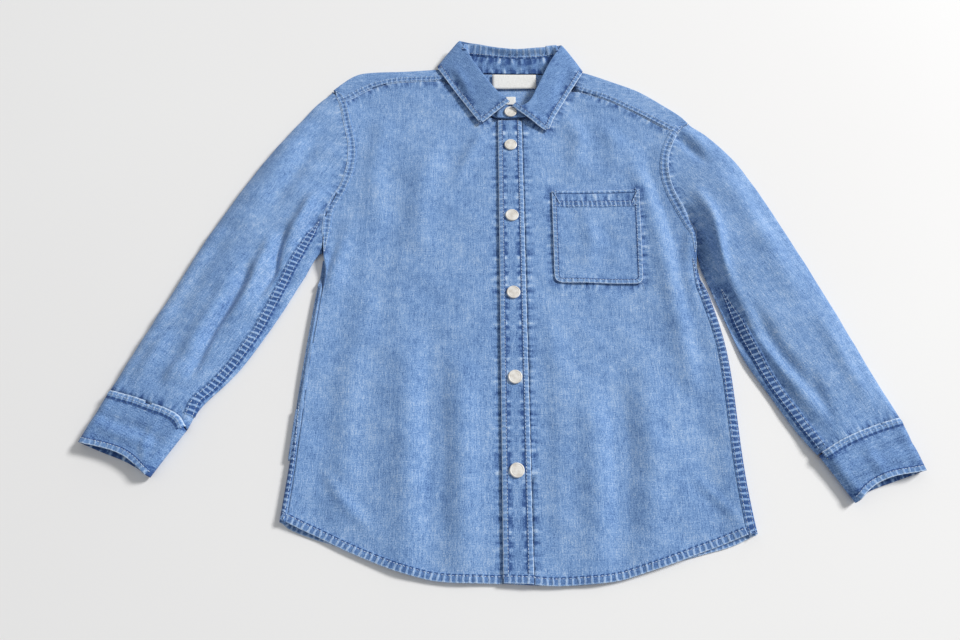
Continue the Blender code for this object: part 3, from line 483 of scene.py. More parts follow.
def pearl():
    """Matte pearl of the snap caps: clouded, and a little duller at random."""
    material, tree, shader = new_material("pearl_snap_cap", Metallic=0.0, Coat_Weight=0.25,
                                          Coat_Roughness=0.3)
    place = add_node(tree, "ShaderNodeTexCoord").outputs["Object"]
    cloud = noise(tree, place, 160.0, 3.0, 0.6)
    colour = mixed(tree, spread(tree, cloud, 0.3, 0.7), (0.62, 0.58, 0.52, 1), (0.86, 0.84, 0.80, 1))
    feed(tree, shader, Base_Color=colour, Roughness=spread(tree, cloud, 0.3, 0.7, 0.42, 0.3))
    add_bump(tree, shader, noise(tree, place, 1400.0, 1.0), 0.12, 0.0002)
    return material


def woven_white(name, tint):
    """White label tape with its fine ribbed weave."""
    material, tree, shader = new_material(name, Sheen_Weight=0.2, Specular_IOR_Level=0.35)
    cloth = uv_of(tree, CLOTH_UV)
    ribs = noise(tree, stretched(tree, cloth, 180, 2300), 1.0, 1.0)
    threads = noise(tree, stretched(tree, cloth, 2300, 260), 1.0, 1.0)
    weave = sums(tree, "ADD", ribs, threads)
    between = tuple(shade * 0.86 for shade in tint)
    colour = mixed(tree, spread(tree, weave, 0.7, 1.3), (*between, 1), (*tint, 1))
    feed(tree, shader, Base_Color=colour, Roughness=spread(tree, weave, 0.7, 1.3, 0.9, 0.75))
    add_bump(tree, shader, weave, 0.4, 0.0003)
    return material


def thread_material():
    """Sewing thread, faded unevenly with the cloth."""
    material, tree, shader = new_material("seam_thread", Sheen_Weight=0.25, Specular_IOR_Level=0.3)
    place = add_node(tree, "ShaderNodeTexCoord").outputs["Object"]
    faded = noise(tree, place, 190.0, 2.0, 0.6)
    colour = mixed(tree, spread(tree, faded, 0.3, 0.7), (0.32, 0.46, 0.68, 1), (0.62, 0.74, 0.88, 1))
    feed(tree, shader, Base_Color=colour, Roughness=spread(tree, faded, 0.3, 0.7, 0.9, 0.7))
    add_bump(tree, shader, noise(tree, place, 2600.0, 1.0), 0.3, 0.0002)
    return material


BLUE = ((0.031, 0.086, 0.265, 1), (0.184, 0.333, 0.615, 1), (0.50, 0.63, 0.82, 1))
REVERSE = ((0.20, 0.27, 0.38, 1), (0.36, 0.44, 0.56, 1), (0.62, 0.70, 0.78, 1))
DENIM = denim_panel("denim_washed", BLUE, 0.42, 1.35)
DENIM_DOUBLED = denim_panel("denim_doubled", BLUE, 1.5, 1.45, -0.05)
DENIM_CUFF = denim_panel("denim_cuff", BLUE, 0.9, 1.4, -0.13)
DENIM_COLLAR = denim_panel("denim_collar", BLUE, 1.0, 1.2, -0.13)
DENIM_STAND = denim_panel("denim_stand", BLUE, 0.75, 1.2, -0.12)
INSIDE = denim_panel("denim_reverse", REVERSE, 0.1, 0.9)
# Seams and hems: the channel values paint shade into the groove beside the stitches, and the edge values
# lighten the worn edge, partly as a painted highlight.
SEAM_FELLED = denim_seam("denim_felled_seam", BLUE, 205.0, 0.62, 0.84, 0.5, 0.1, -0.22)
SEAM_STITCHED = denim_seam("denim_stitched_seam", BLUE, 190.0, 0.26, 0.0, 0.2, 0.35, -0.02)
HEM = denim_seam("denim_hem", BLUE, 190.0, 0.5, -0.62, 0.4, 0.42, -0.06)
EDGE = denim_seam("denim_edge", BLUE, 190.0, 0.26, -0.7, 0.95, 0.7, -0.03)
FALL = denim_seam("denim_collar_fall", BLUE, 150.0, 0.3, -0.85, 0.6, 0.15, 0.02)
POCKET_BAND = denim_seam("denim_pocket_band", BLUE, 215.0, 0.5, 0.9, 0.5, 0.1, -0.14)
PEARL = pearl()
LABEL = woven_white("woven_label_tape", (0.86, 0.86, 0.84))
THREAD = thread_material()


# ---------------------------------------------------------------- cloth pieces

def keep(name, mesh, materials):
    """A finished piece of the shirt, riding on its one body."""
    item = bpy.data.objects.new(name, mesh)
    SCENE.collection.objects.link(item)
    for material in materials:
        item.data.materials.append(material)
    item.data.shade_smooth()
    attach(item, "root")
    return item


def rim_and_skins(shape, wall):
    """Which faces are the wall's rim, and the two skins as sets of faces."""
    rim = {face for face in shape.faces
           if any(abs(edge.calc_length() - wall) < 0.012 * MM for edge in face.edges)}
    left = set(shape.faces) - rim
    skins = []
    while left:
        grown = [left.pop()]
        skin = set(grown)
        while grown:
            for edge in grown.pop().edges:
                for face in edge.link_faces:
                    if face in left:
                        left.discard(face)
                        skin.add(face)
                        grown.append(face)
        skins.append(skin)
    skins.sort(key=lambda skin: -sum(face.calc_area() for face in skin))
    return rim, skins


def mean_height(skin):
    area = sum(face.calc_area() for face in skin)
    return sum(face.calc_center_median().z * face.calc_area() for face in skin) / area


def control_mesh(node, wall):
    """The CAD piece as quads, with its rims creased and its inner skin marked."""
    shape = bmesh.new()
    shape.from_mesh(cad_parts[node].data)
    bmesh.ops.remove_doubles(shape, verts=shape.verts, dist=0.002 * MM)
    bmesh.ops.join_triangles(shape, faces=shape.faces, cmp_seam=False, cmp_sharp=False, cmp_uvs=False,
                             angle_face_threshold=math.radians(75),
                             angle_shape_threshold=math.radians(75))
    rim, skins = rim_and_skins(shape, wall)
    if node in ("back", "yoke"):
        skins.sort(key=mean_height)
    elif node in ("front_right", "front_left", "placket", "pocket", "neck_label", "size_label"):
        skins.sort(key=mean_height, reverse=True)
    for face in shape.faces:
        face.material_index = 2 if face in rim else int(len(skins) > 1 and face in skins[1])
    for _ in range(5):
        long_edges = [edge for edge in shape.edges if edge.calc_length() > LONGEST_EDGE * MM]
        if not long_edges:
            break
        bmesh.ops.subdivide_edges(shape, edges=long_edges, cuts=1, use_grid_fill=True)
    rim = {face for face in shape.faces if face.material_index == 2}
    crease = shape.edges.layers.float.new("crease_edge")
    for edge in shape.edges:
        faces = edge.link_faces
        if len(faces) == 2:
            on_rim = [face in rim for face in faces]
            bent = faces[0].normal.angle(faces[1].normal, 0.0)
            if on_rim[0] != on_rim[1] or (all(on_rim) and bent > math.radians(40)):
                edge[crease] = 1.0
    for face in shape.faces:
        face.material_index = face.material_index % 2
        face.smooth = True
    mesh = bpy.data.meshes.new(node + "_control")
    shape.to_mesh(mesh)
    shape.free()
    return mesh


def read_points(mesh):
    """The places of a mesh's points, in metres."""
    points = np.empty(len(mesh.vertices) * 3)
    mesh.vertices.foreach_get("co", points)
    return points.reshape(-1, 3)


def write_points(mesh, points):
    mesh.vertices.foreach_set("co", points.astype(float).ravel())
    mesh.update()


def evaluated_mesh(item):
    return bpy.data.meshes.new_from_object(item.evaluated_get(bpy.context.evaluated_depsgraph_get()))


def fine_mesh(node, wall):
    """A smooth fine mesh that passes through the CAD piece's own points."""
    control = control_mesh(node, wall)
    wanted = read_points(control)
    item = bpy.data.objects.new(node + "_fine", control)
    SCENE.collection.objects.link(item)
    smooth = item.modifiers.new("smooth", "SUBSURF")
    smooth.levels = smooth.render_levels = FINE_LEVELS
    fine = evaluated_mesh(item)
    for _ in range(0 if node == "back" else 2):
        missing = wanted - read_points(fine)[:len(wanted)]
        size = np.linalg.norm(missing, axis=1)[:, None]
        missing *= np.minimum(1.0, MAX_CORRECTION * MM / np.maximum(size, 1e-9))
        write_points(control, read_points(control) + missing * 0.9)
        bpy.context.view_layer.update()
        bpy.data.meshes.remove(fine)
        fine = evaluated_mesh(item)
    bpy.data.objects.remove(item)
    bpy.data.meshes.remove(control)
    return fine


def laid_lift(node, places):
    """How high the folds and soft rumples of a piece stand at each place."""
    lift = np.zeros(len(places))
    for fold in FOLDS.get(node, []):
        away, along, length = nearest_on(smooth_path(fold.path, 5.0), places)
        share = along / length
        window = np.sqrt(np.clip(np.sin(np.pi * np.clip(0.03 + share * 0.94, 0, 1)), 0, 1))
        lift += fold.height * window * np.exp(-(away / fold.reach) ** 2)
    return lift + PIECES[node].rumple * rumple(places, sum(map(ord, node)))


def shape_cloth(node, points):
    """Lays the folds and soft rumples of a piece into its points, which are in metres."""
    places = points[:, :2] / MM
    lift = laid_lift(node, places)
    if node.startswith(("sleeve", "cuff")):
        lift *= np.clip(points[:, 2] / MM / 5.0 - 0.35, 0, 1)
    elif node.startswith("front"):
        near, _, _ = nearest_on(smooth_path([(15, -280), (15, 180)], 20.0), places)
        lift *= np.clip((near - 14.0) / 20.0, 0, 1)
        lift = shallow(lift)
    elif node == "yoke":
        lift *= np.clip(points[:, 2] / MM / 3.0 - 0.6, 0, 1)
    elif node == "placket":
        lift += 0.22 * np.sin(places[:, 1] * math.tau / 13.0 + 1.7 * np.sin(places[:, 1] / 29.0))
    elif node == "collar_stand":
        upright = np.clip((places[:, 1] - 236.0) / 8.0, 0, 1)
        lift += upright * 0.45 * np.sin(places[:, 0] * math.tau / 9.5 + 1.9 * np.sin(places[:, 0] / 13.0))
    points = points.copy()
    if node == "pocket":
        lift += shallow(laid_lift("front_left", places))
        points[:, :2] = round_corners(places) * MM
    elif node.startswith("cuff"):
        points[:, :2] += open_mouth(node, places, points[:, 2] / MM) * MM
    points[:, 2] = np.maximum(points[:, 2] + lift * MM, 0.0)
    return points


def round_corners(places):
    """The pocket's places with its two lower corners rounded."""
    places = places.copy()
    for corner, side in ((POCKET_CORNERS[0], 1.0), (POCKET_CORNERS[1], -1.0)):
        middle = np.array(corner) + np.array([side, 1.0]) * POCKET_CORNER
        out = places - middle
        beyond = (out[:, 0] * side < 0) & (out[:, 1] < 0)
        reach = np.linalg.norm(out, axis=1)
        beyond &= reach > POCKET_CORNER
        places[beyond] = middle + out[beyond] / reach[beyond, None] * POCKET_CORNER
    return places


def open_mouth(node, places, heights):
    """How far the upper layer of a cuff draws back at its mouth, so that the mouth gapes."""
    line = smooth_path(CUFF_MOUTH_RIGHT if node == "cuff_right" else CUFF_MOUTH_LEFT, 3.0)
    back = np.array([0.48, 0.88]) if node == "cuff_right" else np.array([-0.4, 0.92])
    away, along, length = nearest_on(line, places)
    window = np.sin(np.pi * np.clip(along / length, 0, 1)) ** 1.2 * np.exp(-(away / 16.0) ** 2)
    upper = np.clip((heights - 4.0) / 4.0, 0, 1)
    return (window * upper * MOUTH_GAPE)[:, None] * back


def shallow(lift):
    """The lift with its troughs held to a millimetre, so that they don't reach the back."""
    return np.where(lift < 0, np.tanh(lift), lift)


def warp_frame(node, points):
    """Metres across and along the warp at each point."""
    angle = np.full(len(points), math.radians(PIECES[node].warp))
    if node == "collar":
        angle = np.where(points[:, 0] < 0.002, math.radians(-36.0),
                         np.where(points[:, 0] > 0.045, math.radians(38.0), 0.0))
    along = points[:, 0] * np.cos(angle) + points[:, 1] * np.sin(angle)
    across = points[:, 0] * np.sin(angle) - points[:, 1] * np.cos(angle)
    return across, along


def write_uv(mesh, name, u, v):
    """A UV map from values at the vertices."""
    corners = np.empty(len(mesh.loops), int)
    mesh.loops.foreach_get("vertex_index", corners)
    layer = mesh.uv_layers.new(name=name)
    layer.data.foreach_set("uv", np.stack([u[corners], v[corners]], 1).ravel())


def cloth_piece(node, materials):
    mesh = fine_mesh(node, PIECES[node].wall * MM)
    mesh.materials.clear()
    points = shape_cloth(node, read_points(mesh))
    write_points(mesh, points)
    write_uv(mesh, CLOTH_UV, *warp_frame(node, points))
    places = points[:, :2] / MM
    away = np.full(len(points), 1e3)
    along = np.zeros(len(points))
    for line in STAND_LINES if node == "collar_stand" else SEAM_LINES:
        line_away, line_along, _ = nearest_on(line, places)
        closer = line_away < away
        away[closer] = line_away[closer]
        along[closer] = line_along[closer]
    write_uv(mesh, SEAM_UV, away * MM, along * MM)
    item = keep(node + "_cloth", mesh, materials)
    item.data.name = node + "_cloth"
    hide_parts(node)
    return item


DOUBLED = {"collar_stand": DENIM_STAND, "collar": DENIM_COLLAR, "placket": DENIM_DOUBLED,
           "cuff_right": DENIM_CUFF, "cuff_left": DENIM_CUFF}
CLOTH = {}
for node_name in PIECES:
    if node_name.endswith("label"):
        CLOTH[node_name] = cloth_piece(node_name, [LABEL, LABEL])
    elif node_name in DOUBLED:
        CLOTH[node_name] = cloth_piece(node_name, [DOUBLED[node_name]] * 2)
    else:
        CLOTH[node_name] = cloth_piece(node_name, [DENIM, INSIDE])


# ---------------------------------------------------------------- seams, hems and stitches

def surface_of(*items):
    """A search tree over the faces of some pieces."""
    points, faces = [], []
    for item in items:
        start = len(points)
        points.extend(vertex.co[:] for vertex in item.data.vertices)
        faces.extend([start + index for index in face.vertices] for face in item.data.polygons)
    return BVHTree.FromPolygons(points, faces)


def heights_on(surface, grid):
    """Height of the surface below each place of a grid of places; gaps take the next height."""
    heights = np.full(grid.shape[:2], np.nan)
    for row in range(grid.shape[0]):
        for column in range(grid.shape[1]):
            hit = surface.ray_cast(Vector((*(grid[row, column] * MM), 0.1)), Vector((0, 0, -1)))[0]
            if hit is not None:
                heights[row, column] = hit.z
    for row in heights:
        known = np.flatnonzero(~np.isnan(row))
        if len(known):
            row[:] = np.interp(np.arange(len(row)), known, row[known])
    known = np.flatnonzero(~np.isnan(heights[:, 0]))
    for column in range(heights.shape[1]):
        heights[:, column] = np.interp(np.arange(len(heights)), known, heights[known, column])
    return heights


def pucker(along, across, seed):
    """Uneven bars across a seam, -1 to 1."""
    draw = np.random.RandomState(seed)
    first, second = draw.uniform(0, math.tau, 2)
    drift = 1.1 * np.sin(along / 23.0 + first) + 0.8 * np.sin(along / 9.7 + second)
    size = 0.65 + 0.35 * np.sin(along / 14.3 + second)
    return size * np.sin(along * math.tau / 6.6 + drift + across * 0.5)


SEAM_PIECES = []
STITCH_ROWS = []
NARROWEST = 0.12        # share of a seam's width at a tapered end
SUNK = 0.6              # millimetres that a seam reaches down into its cloth
NOTCH = 3               # steps to each side over which a seam bridges a notch


def closed_strip(name, top, bottom, uv_across, uv_along, material):
    """A closed flat tube between a top and a bottom grid, in metres."""
    rows, columns = top.shape[:2]
    points = np.vstack([top.reshape(-1, 3), bottom.reshape(-1, 3)])
    index = np.arange(rows * columns).reshape(rows, columns)
    under = index + rows * columns
    faces = np.stack([index[:-1, :-1].ravel(), index[1:, :-1].ravel(), index[1:, 1:].ravel(),
                      index[:-1, 1:].ravel()], 1).tolist()
    faces += np.stack([under[:-1, :-1].ravel(), under[:-1, 1:].ravel(), under[1:, 1:].ravel(),
                       under[1:, :-1].ravel()], 1).tolist()
    for column, step in ((0, 1), (columns - 1, -1)):
        side = [index[:, column], under[:, column]][::step]
        faces += np.stack([side[0][:-1], side[1][:-1], side[1][1:], side[0][1:]], 1).tolist()
    for row, step in ((0, 1), (rows - 1, -1)):
        side = [under[row], index[row]][::step]
        faces += np.stack([side[0][:-1], side[1][:-1], side[1][1:], side[0][1:]], 1).tolist()
    mesh = bpy.data.meshes.new(name)
    mesh.from_pydata(points.tolist(), [], faces)
    shape = bmesh.new()
    shape.from_mesh(mesh)
    bmesh.ops.recalc_face_normals(shape, faces=shape.faces)
    shape.to_mesh(mesh)
    shape.free()
    write_uv(mesh, CLOTH_UV, points[:, 0], points[:, 1])
    write_uv(mesh, SEAM_UV, np.tile(uv_across.ravel(), 2), np.tile(uv_along.ravel(), 2))
    return keep(name, mesh, [material])


def sew(name, path, half, hosts, material, rise=0.55, bars=0.22, rows=(-0.55, 0.55), outer=1,
        taper=0.0, fade=0.0, bridge=False):
    """A seam or hem laid along a path on its hosts, with its rows of stitches.

    It narrows to nothing over the taper at its start and the fade at its end, in millimetres.
    With bridge it spans the gaps between its two sides.
    """
    path = smooth_path(path) if len(path) < 40 else path
    shares = np.array([-1.0, -0.86, -0.6, -0.3, 0.0, 0.3, 0.6, 0.86, 1.0])
    walked = np.linspace(0, 1.1 * (len(path) - 1), len(path))
    width = np.interp(walked, [0, max(taper, 0.001)], [NARROWEST if taper else 1.0, 1.0])
    width *= np.interp(walked[-1] - walked, [0, max(fade, 0.001)], [NARROWEST if fade else 1.0, 1.0])
    width = width[:, None]
    grid = np.stack([path + (beside(path, half * share) - path) * width for share in shares], 1)
    surface = surface_of(*[CLOTH[host] for host in hosts])
    ground = heights_on(surface, grid)
    padded = np.pad(ground, ((NOTCH, NOTCH), (0, 0)), "edge")
    evened = sum(padded[shift:shift + len(ground)] for shift in range(2 * NOTCH + 1)) / (2 * NOTCH + 1)
    inner = (1.0 - np.abs(shares) ** 4)[None, :]
    ground = ground + np.maximum(evened - ground, 0.0) * inner
    if bridge:
        span = (shares[None, :] + 1) / 2
        ground = np.maximum(ground, ground[:, :1] * (1 - span) + ground[:, -1:] * span)
    along = walked[:, None] + 0 * shares
    across = shares[None, :] + 0 * along
    seed = sum(map(ord, name))
    wave = pucker(along, across, seed)
    profile = 1.0 - np.abs(across) ** 5
    groove = np.exp(-((np.abs(across) - 0.58) / 0.16) ** 2)
    lift = rise * width * (0.35 + 0.65 * profile) + bars * wave * (0.4 + 0.6 * profile) - 0.14 * groove
    sway = 0.35 * np.sin(along / 7.3 + seed) + 0.25 * wave
    place = grid + np.stack([0 * sway, sway * np.abs(across) * 0.3], 2)
    top = np.dstack([place * MM, ground + np.maximum(lift, 0.12) * MM])
    bottom = np.dstack([place * MM, np.maximum(ground - SUNK * MM, 0.05 * MM)])
    item = closed_strip(name, top, bottom, across * outer, along * MM, material)
    SEAM_PIECES.append((item, hosts[0]))
    for row in rows:
        spot = np.interp(row, shares, np.arange(len(shares)))
        low = int(min(spot, len(shares) - 2))
        line = top[:, low] * (1 - spot + low) + top[:, low + 1] * (spot - low)
        STITCH_ROWS.append(line + np.array([0, 0, 0.08 * MM]))
    return item


def sew_edge(name, line, inward, half, hosts, material=EDGE, **more):
    """A seam just inside a line; inward is how far to the line's left its middle lies."""
    sew(name, beside(smooth_path(line), inward), half, hosts, material,
        outer=-1 if inward > 0 else 1, **more)


def mouth_line(node, line):
    """The edge of a cuff's upper layer at its mouth."""
    line = smooth_path(line, 8.0)
    return line + open_mouth(node, line, np.full(len(line), 10.0))


for host, line in (("front_right", HEM_RIGHT), ("front_left", HEM_LEFT),
                   ("placket", [(2.6, -279.2), (27.2, -280.0)])):
    sew_edge("hem_" + host, line, 3.6, 3.7, [host], HEM, rows=(0.5,))
sew_edge("hem_back", HEM_BACK, 4.2, 3.6, ["back"], HEM, rise=0.3, rows=(0.5,))
sew_edge("side_seam_right", SIDE_RIGHT, 2.9, 2.6, ["back", "front_right"], SEAM_FELLED, rise=0.4,
         rows=(0.4,), taper=45.0)
sew("side_roll_right", beside(smooth_path(SIDE_ROLL_RIGHT), 3.6), 3.4, ["back", "front_right"], DENIM,
    rise=0.25, bars=0.05, rows=())
sew_edge("side_seam_left", SIDE_LEFT, -5.2, 4.4, ["back", "front_left"], SEAM_FELLED, rise=0.5,
         taper=30.0)
sew("sleeve_seam_right", SLEEVE_SEAM_RIGHT, 5.0, ["sleeve_right"], SEAM_FELLED, taper=14.0)
sew("sleeve_seam_left", SLEEVE_SEAM_LEFT, 5.0, ["sleeve_left"], SEAM_FELLED, outer=-1, taper=34.0)
sew_edge("armhole_seam_right", ARMHOLE_RIGHT, -2.0, 4.4,
         ["front_right", "yoke", "back", "sleeve_right"], SEAM_STITCHED, rise=0.4, taper=24.0, fade=6.0)
sew_edge("armhole_seam_left", ARMHOLE_LEFT, 2.0, 4.4,
         ["front_left", "yoke", "back", "sleeve_left"], SEAM_STITCHED, rise=0.4, taper=24.0, fade=8.0)
sew_edge("yoke_seam_right", YOKE_RIGHT, 3.0, 3.8, ["yoke", "front_right"], SEAM_STITCHED, rise=0.35)
sew_edge("yoke_seam_left", YOKE_LEFT, 3.0, 3.8, ["yoke", "front_left"], SEAM_STITCHED, rise=0.35)
for side, turn, line in (("right", 1, CUFF_SEAM_RIGHT), ("left", -1, CUFF_SEAM_LEFT)):
    sew_edge("cuff_seam_" + side, line, -2.6 * turn, 3.8, ["cuff_" + side, "sleeve_" + side], rise=0.5,
             rows=(0.1 * turn,))
for side, turn, line in (("right", 1, CUFF_MOUTH_RIGHT), ("left", -1, CUFF_MOUTH_LEFT)):
    cuff = "cuff_" + side
    sew_edge("cuff_edge_" + side, mouth_line(cuff, line), 3.0 * turn, 2.9, [cuff], rise=0.35,
             rows=(0.5 * turn,))
for side, edge, turn in (("left", PLACKET_LEFT, -1), ("right", PLACKET_RIGHT, 1)):
    sew_edge("placket_edge_" + side, [(edge, PLACKET_ENDS[0] + 3), (edge, -50), (edge, PLACKET_ENDS[1])],
             2.7 * turn, 2.7, ["placket"], rise=0.35, rows=(0.55 * turn,))
sew_edge("collar_edge_right", COLLAR_RIGHT, -2.7, 2.7, ["collar"], rise=0.35, rows=(-0.6,))
sew_edge("collar_edge_left", COLLAR_LEFT, 2.7, 2.7, ["collar"], rise=0.35, rows=(0.6,))
sew("fall_seam", [(-35.0, 269.6), (-5.0, 265.6), (21.0, 263.2), (47.0, 264.4), (68.0, 267.6)], 5.6,
    ["collar", "collar_stand"], FALL, rise=0.4, rows=(-0.62,), bridge=True)


def rounded(corners, radius, steps=6):
    """A path with its inner corners rounded."""
    corners = [np.array(corner, float) for corner in corners]
    path = [corners[0]]
    for before, corner, after in zip(corners, corners[1:], corners[2:]):
        start = corner + (before - corner) / np.linalg.norm(before - corner) * radius
        end = corner + (after - corner) / np.linalg.norm(after - corner) * radius
        for share in np.linspace(0, 1, steps):
            path.append((1 - share) ** 2 * start + 2 * share * (1 - share) * corner + share ** 2 * end)
    path.append(corners[-1])
    return even_path(np.array(path), 1.1)


low_left, low_right, top_right, top_left = POCKET_CORNERS
pocket_outline = rounded([top_left, low_left, low_right, top_right], POCKET_CORNER + 2.0)
sew("pocket_edge", beside(pocket_outline, 2.5), 2.5, ["pocket"], EDGE, rise=0.35, rows=(0.5,), outer=-1)
sew("pocket_hem", [(58.6, 75.6), (98, 75.4), (139.4, 75.8)], 3.9, ["pocket"], POCKET_BAND, rise=0.35)
for side, line in (("left", [(57.4, 88.6), (60.2, 82.5), (63.0, 76.4)]),
                   ("right", [(141.0, 88.8), (138.0, 82.5), (135.2, 76.4)])):
    sew("pocket_tack_" + side, line, 0.7, ["pocket"], EDGE, rise=0.7, rows=(0.0,))
sew("pocket_top", [(56.4, 88.6), (98, 88.9), (142.2, 89.1)], 1.7, ["pocket"], EDGE, rise=0.35, rows=())


# ---------------------------------------------------------------- what repeats: stitches and snaps

def node_tree(name, inputs):
    group = bpy.data.node_groups.new(name, "GeometryNodeTree")
    group.interface.new_socket("Geometry", in_out="INPUT", socket_type="NodeSocketGeometry")
    identifiers = {}
    for title, kind in inputs:
        socket = group.interface.new_socket(title, in_out="INPUT", socket_type=kind)
        identifiers[title] = socket.identifier
    group.interface.new_socket("Geometry", in_out="OUTPUT", socket_type="NodeSocketGeometry")
    return group, group.nodes.new("NodeGroupInput"), group.nodes.new("NodeGroupOutput"), identifiers


def stitch_tree():
    """Stitches along every curve: drawn out threads, one after the other."""
    group, given, out, names = node_tree("row of stitches", [
        ("Stitch pitch", "NodeSocketFloat"), ("Stitch length", "NodeSocketFloat"),
        ("Thread width", "NodeSocketFloat"), ("Thread", "NodeSocketMaterial")])
    resample = group.nodes.new("GeometryNodeResampleCurve")
    resample.mode = "LENGTH"
    feed(group, resample, Curve=given.outputs["Geometry"], Length=given.outputs["Stitch pitch"])
    grain = group.nodes.new("GeometryNodeMeshUVSphere")
    feed(group, grain, Segments=6, Rings=4, Radius=0.5)
    size = group.nodes.new("ShaderNodeCombineXYZ")
    width = given.outputs["Thread width"]
    feed(group, size, X=given.outputs["Stitch length"], Y=width, Z=width)
    turn = group.nodes.new("FunctionNodeAlignEulerToVector")
    turn.axis = "X"
    tangent = group.nodes.new("GeometryNodeInputTangent")
    feed(group, turn, Vector=tangent.outputs[0])
    stitch = group.nodes.new("GeometryNodeInstanceOnPoints")
    feed(group, stitch, Points=resample.outputs[0], Instance=grain.outputs["Mesh"])
    feed(group, stitch, Rotation=turn.outputs[0], Scale=size.outputs[0])
    finish_tree(group, stitch.outputs[0], given.outputs["Thread"], out)
    return group, names


def finish_tree(group, geometry, material, out):
    """Makes the instances real and gives them their material."""
    real = group.nodes.new("GeometryNodeRealizeInstances")
    feed(group, real, Geometry=geometry)
    paint = group.nodes.new("GeometryNodeSetMaterial")
    feed(group, paint, Geometry=real.outputs[0], Material=material)
    feed(group, out, Geometry=paint.outputs[0])


def grown(name, source, group, names, values, slot, material):
    """The plain mesh that a node tree makes from a source object."""
    SCENE.collection.objects.link(source)
    modifier = source.modifiers.new(name, "NODES")
    modifier.node_group = group
    for title, value in values.items():
        modifier[names[title]] = value
    mesh = evaluated_mesh(source)
    bpy.data.objects.remove(source)
    mesh.materials.clear()
    return keep(name, mesh, [material])


def sew_stitches():
    curves = bpy.data.curves.new("stitch_rows", "CURVE")
    curves.dimensions = "3D"
    for row in STITCH_ROWS:
        spline = curves.splines.new("POLY")
        spline.points.add(len(row) - 1)
        spline.points.foreach_set("co", np.hstack([row, np.ones((len(row), 1))]).ravel())
    group, names = stitch_tree()
    source = bpy.data.objects.new("stitch_rows", curves)
    return grown("stitches", source, group, names, {
        "Stitch pitch": 2.9 * MM, "Stitch length": 2.6 * MM, "Thread width": 0.62 * MM,
        "Thread": THREAD}, "denim", THREAD)


def cap_pattern():
    """One snap cap: a low dish with a rolled rim and a fine ring."""
    profile = [(0, 0.02), (5.9, 0.02), (6.35, 0.2), (6.55, 0.55), (6.5, 0.95), (6.2, 1.35),
               (5.75, 1.55), (5.3, 1.5), (5.0, 1.34), (4.7, 1.3), (4.4, 1.42), (4.1, 1.46),
               (3.8, 1.42), (2.6, 1.5), (1.3, 1.55), (0, 1.56)]
    shape = bmesh.new()
    ring = [shape.verts.new((radius * MM, 0, height * MM)) for radius, height in profile]
    for start, end in zip(ring, ring[1:]):
        shape.edges.new((start, end))
    bmesh.ops.spin(shape, geom=shape.verts[:] + shape.edges[:], cent=(0, 0, 0), axis=(0, 0, 1),
                   angle=math.tau, steps=56, use_duplicate=False)
    bmesh.ops.remove_doubles(shape, verts=shape.verts, dist=0.00001)
    bmesh.ops.recalc_face_normals(shape, faces=shape.faces)
    mesh = bpy.data.meshes.new("cap_pattern")
    shape.to_mesh(mesh)
    shape.free()
    mesh.shade_smooth()
    return bpy.data.objects.new("cap_pattern", mesh)


def set_snaps():
    group, given, out, names = node_tree("snap caps", [("Cap", "NodeSocketObject"),
                                                      ("Pearl", "NodeSocketMaterial")])
    info = group.nodes.new("GeometryNodeObjectInfo")
    feed(group, info, Object=given.outputs["Cap"])
    caps = group.nodes.new("GeometryNodeInstanceOnPoints")
    feed(group, caps, Points=given.outputs["Geometry"], Instance=info.outputs["Geometry"])
    finish_tree(group, caps.outputs[0], given.outputs["Pearl"], out)
    places = bpy.data.meshes.new("snap_places")
    places.from_pydata([[value * MM for value in snap] for snap in SNAPS], [], [])
    pattern = cap_pattern()
    SCENE.collection.objects.link(pattern)
    item = grown("snap_caps", bpy.data.objects.new("snap_places", places), group, names,
                 {"Cap": pattern, "Pearl": PEARL}, "pearl_snap", PEARL)
    bpy.data.objects.remove(pattern)
    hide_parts(*["snap_%d" % (index + 1) for index in range(len(SNAPS))])
    return item


stitches = sew_stitches()
set_snaps()


# ---------------------------------------------------------------- flat cut of each piece

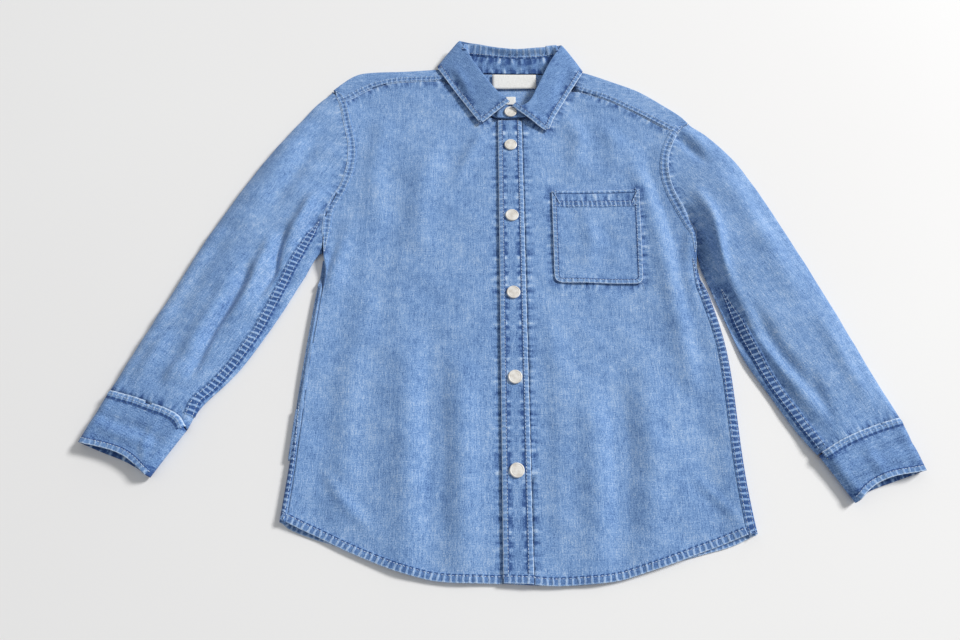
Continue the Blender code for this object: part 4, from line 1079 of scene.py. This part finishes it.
Cut = namedtuple("Cut", "width length area held rests_on")
CUTS = {
    "back": Cut(0.440, 0.450, None, "laid", []),
    "yoke": Cut(0.400, 0.100, None, "folded", []),
    "front_right": Cut(0.205, 0.500, None, "laid", ["back_cloth"]),
    "front_left": Cut(0.190, 0.500, None, "laid", ["back_cloth"]),
    "placket": Cut(0.0252, 0.457, None, "laid", ["front_right_cloth"]),
    "pocket": Cut(0.088, 0.103, None, "laid", ["front_left_cloth"]),
    "sleeve_right": Cut(0.300, 0.345, 0.069, "laid", []),
    "sleeve_left": Cut(0.300, 0.350, 0.069, "laid", []),
    "cuff_right": Cut(0.190, 0.052, None, "folded", []),
    "cuff_left": Cut(0.190, 0.052, None, "folded", []),
    "collar_stand": Cut(0.300, 0.028, None, "laid", ["yoke_cloth"]),
    "collar": Cut(0.330, 0.044, None, "folded", ["collar_stand_cloth"]),
    "neck_label": Cut(0.048, 0.019, None, "laid", ["yoke_cloth"]),
    "size_label": Cut(0.0104, 0.0102, None, "laid", ["yoke_cloth"]),
}


for node_name, cut in CUTS.items():
    going = [item for item, owner in SEAM_PIECES if owner == node_name]
    if node_name == "front_left":
        going.append(stitches)


# ---------------------------------------------------------------- table, light and camera

def pale_table():
    mesh = bpy.data.meshes.new("table_top")
    mesh.from_pydata([(-4, -4, -0.0002), (4, -4, -0.0002), (4, 4, -0.0002), (-4, 4, -0.0002)], [],
                     [(0, 1, 2, 3)])
    material, tree, shader = new_material("pale_table", Roughness=0.75)
    place = add_node(tree, "ShaderNodeTexCoord").outputs["Object"]
    colour = mixed(tree, noise(tree, place, 2.0, 2.0), (0.83, 0.82, 0.82, 1), (0.87, 0.87, 0.865, 1))
    feed(tree, shader, Base_Color=colour)
    mesh.materials.append(material)
    table_top = bpy.data.objects.new("table_top", mesh)
    SCENE.collection.objects.link(table_top)


def area_light(name, place, target, size, power, colour):
    light = bpy.data.lights.new(name, "AREA")
    light.shape = "RECTANGLE"
    light.size, light.size_y = size
    light.energy = power
    light.color = colour
    item = bpy.data.objects.new(name, light)
    item.location = place
    item.rotation_euler = (Vector(target) - Vector(place)).to_track_quat("-Z", "Y").to_euler()
    SCENE.collection.objects.link(item)


def soft_light():
    world = bpy.data.worlds.new("studio")
    world.use_nodes = True
    background = world.node_tree.nodes["Background"]
    background.inputs[0].default_value = (0.96, 0.98, 1.0, 1)
    background.inputs[1].default_value = 0.42
    SCENE.world = world
    SCENE.view_settings.view_transform = "Standard"
    area_light("key", (5.8, 3.05, 4.6), (0, 0, 0), (2.0, 1.55), 660.0, (1.0, 0.99, 0.975))


def look_down():
    camera = bpy.data.cameras.new("camera")
    camera.lens = 26.32
    camera.sensor_width = 36.0
    item = bpy.data.objects.new("camera", camera)
    item.location = (-0.0165, -0.2945, 0.6116)
    item.rotation_euler = (math.radians(22.0), 0, 0)
    SCENE.collection.objects.link(item)
    SCENE.camera = item


pale_table()
soft_light()
look_down()
